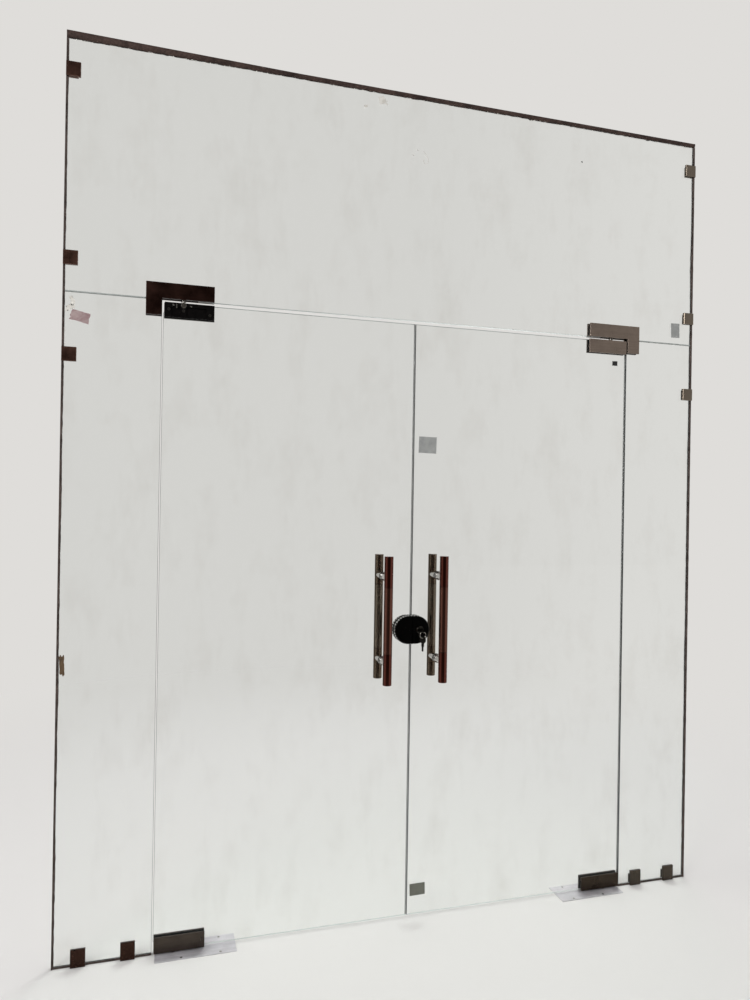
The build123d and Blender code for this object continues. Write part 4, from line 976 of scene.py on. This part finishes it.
def hung_flags(tree, direction):
    """The shade that hangs where a direction from the door points, told by its heading alone."""
    outward = maths(tree, "MULTIPLY", part_of(tree, direction, "Y"), -1.0)
    angle = maths(tree, "ARCTAN2", part_of(tree, direction, "X"), outward)
    hung = put(tree, "ShaderNodeValToRGB", {"Fac": remap(tree, angle, (-math.pi, math.pi))})
    stops = hung.color_ramp.elements
    while len(stops) < len(flags):
        stops.new(0.5)
    for stop, (degrees, shade) in zip(stops, flags):
        stop.position, stop.color = 0.5 + degrees / 360, colour(shade)
    return hung.outputs["Color"]


def background(tree, path, direction):
    """Pale, but flags hang in it for a path that has been mirrored at least once."""
    mirrored = maths(tree, "GREATER_THAN", path["Glossy Depth"], 0.5)
    return blend(tree, mirrored, colour(pale), hung_flags(tree, direction))


def set_world():
    world = bpy.data.worlds.new("pale_world")
    bpy.context.scene.world = world
    world.use_nodes = True
    tree = world.node_tree
    tree.nodes.clear()
    path = put(tree, "ShaderNodeLightPath").outputs
    view = background(tree, path, put(tree, "ShaderNodeTexCoord").outputs["Generated"])
    bright = put(tree, "ShaderNodeBackground", {"Color": view, "Strength": 1.0})
    dim = put(tree, "ShaderNodeBackground", {"Color": colour("#E6E6E8"), "Strength": 0.75})
    both = put(tree, "ShaderNodeMixShader", {
        0: rays_that_see(tree, path), 1: dim.outputs[0], 2: bright.outputs[0]})
    tree.links.new(both.outputs[0], put(tree, "ShaderNodeOutputWorld").inputs["Surface"])


set_world()
print("world set")

# %% Lay the floor
def lay_floor(reach=14.0, drop=0.3 * mm, fades=(1.6, 4.2)):
    """A square floor just below the door. Between the two distances in fades it turns into the
    background."""
    finish, tree, where = start_finish("pale_studio_floor")
    away = put(tree, "ShaderNodeVectorMath", {0: where}, operation="LENGTH")
    far = remap(tree, away.outputs["Value"], fades, interpolation_type="SMOOTHSTEP")
    path = put(tree, "ShaderNodeLightPath").outputs
    matt = put(tree, "ShaderNodeBsdfDiffuse", {"Color": colour(pale)})
    glow = put(tree, "ShaderNodeEmission", {"Color": background(tree, path, where), "Strength": 1.0})
    show(tree, put(tree, "ShaderNodeMixShader", {
        0: maths(tree, "MULTIPLY", far, rays_that_see(tree, path)),
        1: matt.outputs[0], 2: glow.outputs[0]}))
    square = [(-1, -1), (1, -1), (1, 1), (-1, 1)]
    floor = mesh_piece("studio_floor", [(x * reach, y * reach, -drop) for x, y in square],
                       [(0, 1, 2, 3)], finish)


lay_floor()
print("floor laid")

# %% Hang the lamps
def lamp(name, place, aim, size, power):
    """A square soft lamp that points at aim. Only what it lights and what mirrors it sees it."""
    light = bpy.data.lights.new(name, "AREA")
    light.shape, light.size, light.energy = "SQUARE", size, power
    holder = bpy.data.objects.new(name, light)
    holder.location = place
    holder.rotation_euler = (Vector(aim) - Vector(place)).to_track_quat("-Z", "Y").to_euler()
    holder.visible_camera = holder.visible_transmission = False
    bpy.context.scene.collection.objects.link(holder)


lamp("front_lamp", (-5.4, -4.6, 4.4), (0.0, 0.0, 1.2), 2.8, 260)
lamp("back_lamp", (2.6, 4.6, 7.2), (0.0, 0.0, 1.2), 2.8, 230)
print("two lamps")

# %% Set the camera where the photograph was taken from
focal_px, frame_width, sensor_mm = 753.79, 750, 36.0
eye = Vector((-0.91165, -2.60979, 1.51832))
yaw, pitch, roll = (math.radians(a) for a in (16.4267, 0.0945, 0.9462))
ahead = Vector((math.sin(yaw), math.cos(yaw), 0.0))
right = Vector((math.cos(yaw), -math.sin(yaw), 0.0))
up = Vector((0.0, 0.0, 1.0))
look = ahead * math.cos(pitch) + up * math.sin(pitch)
rise = up * math.cos(pitch) - ahead * math.sin(pitch)
right, rise = (right * math.cos(roll) + rise * math.sin(roll),
               rise * math.cos(roll) - right * math.sin(roll))
camera = bpy.data.objects.new("camera", bpy.data.cameras.new("camera"))
camera.data.sensor_fit, camera.data.sensor_width = "HORIZONTAL", sensor_mm
camera.data.lens = focal_px / frame_width * sensor_mm
turn = Matrix((right, rise, -look)).transposed()
camera.matrix_world = Matrix.Translation(eye) @ turn.to_4x4()
bpy.context.scene.collection.objects.link(camera)
bpy.context.scene.camera = camera
bpy.context.scene.view_settings.view_transform = "Standard"
print("lens", round(camera.data.lens, 2), "mm")
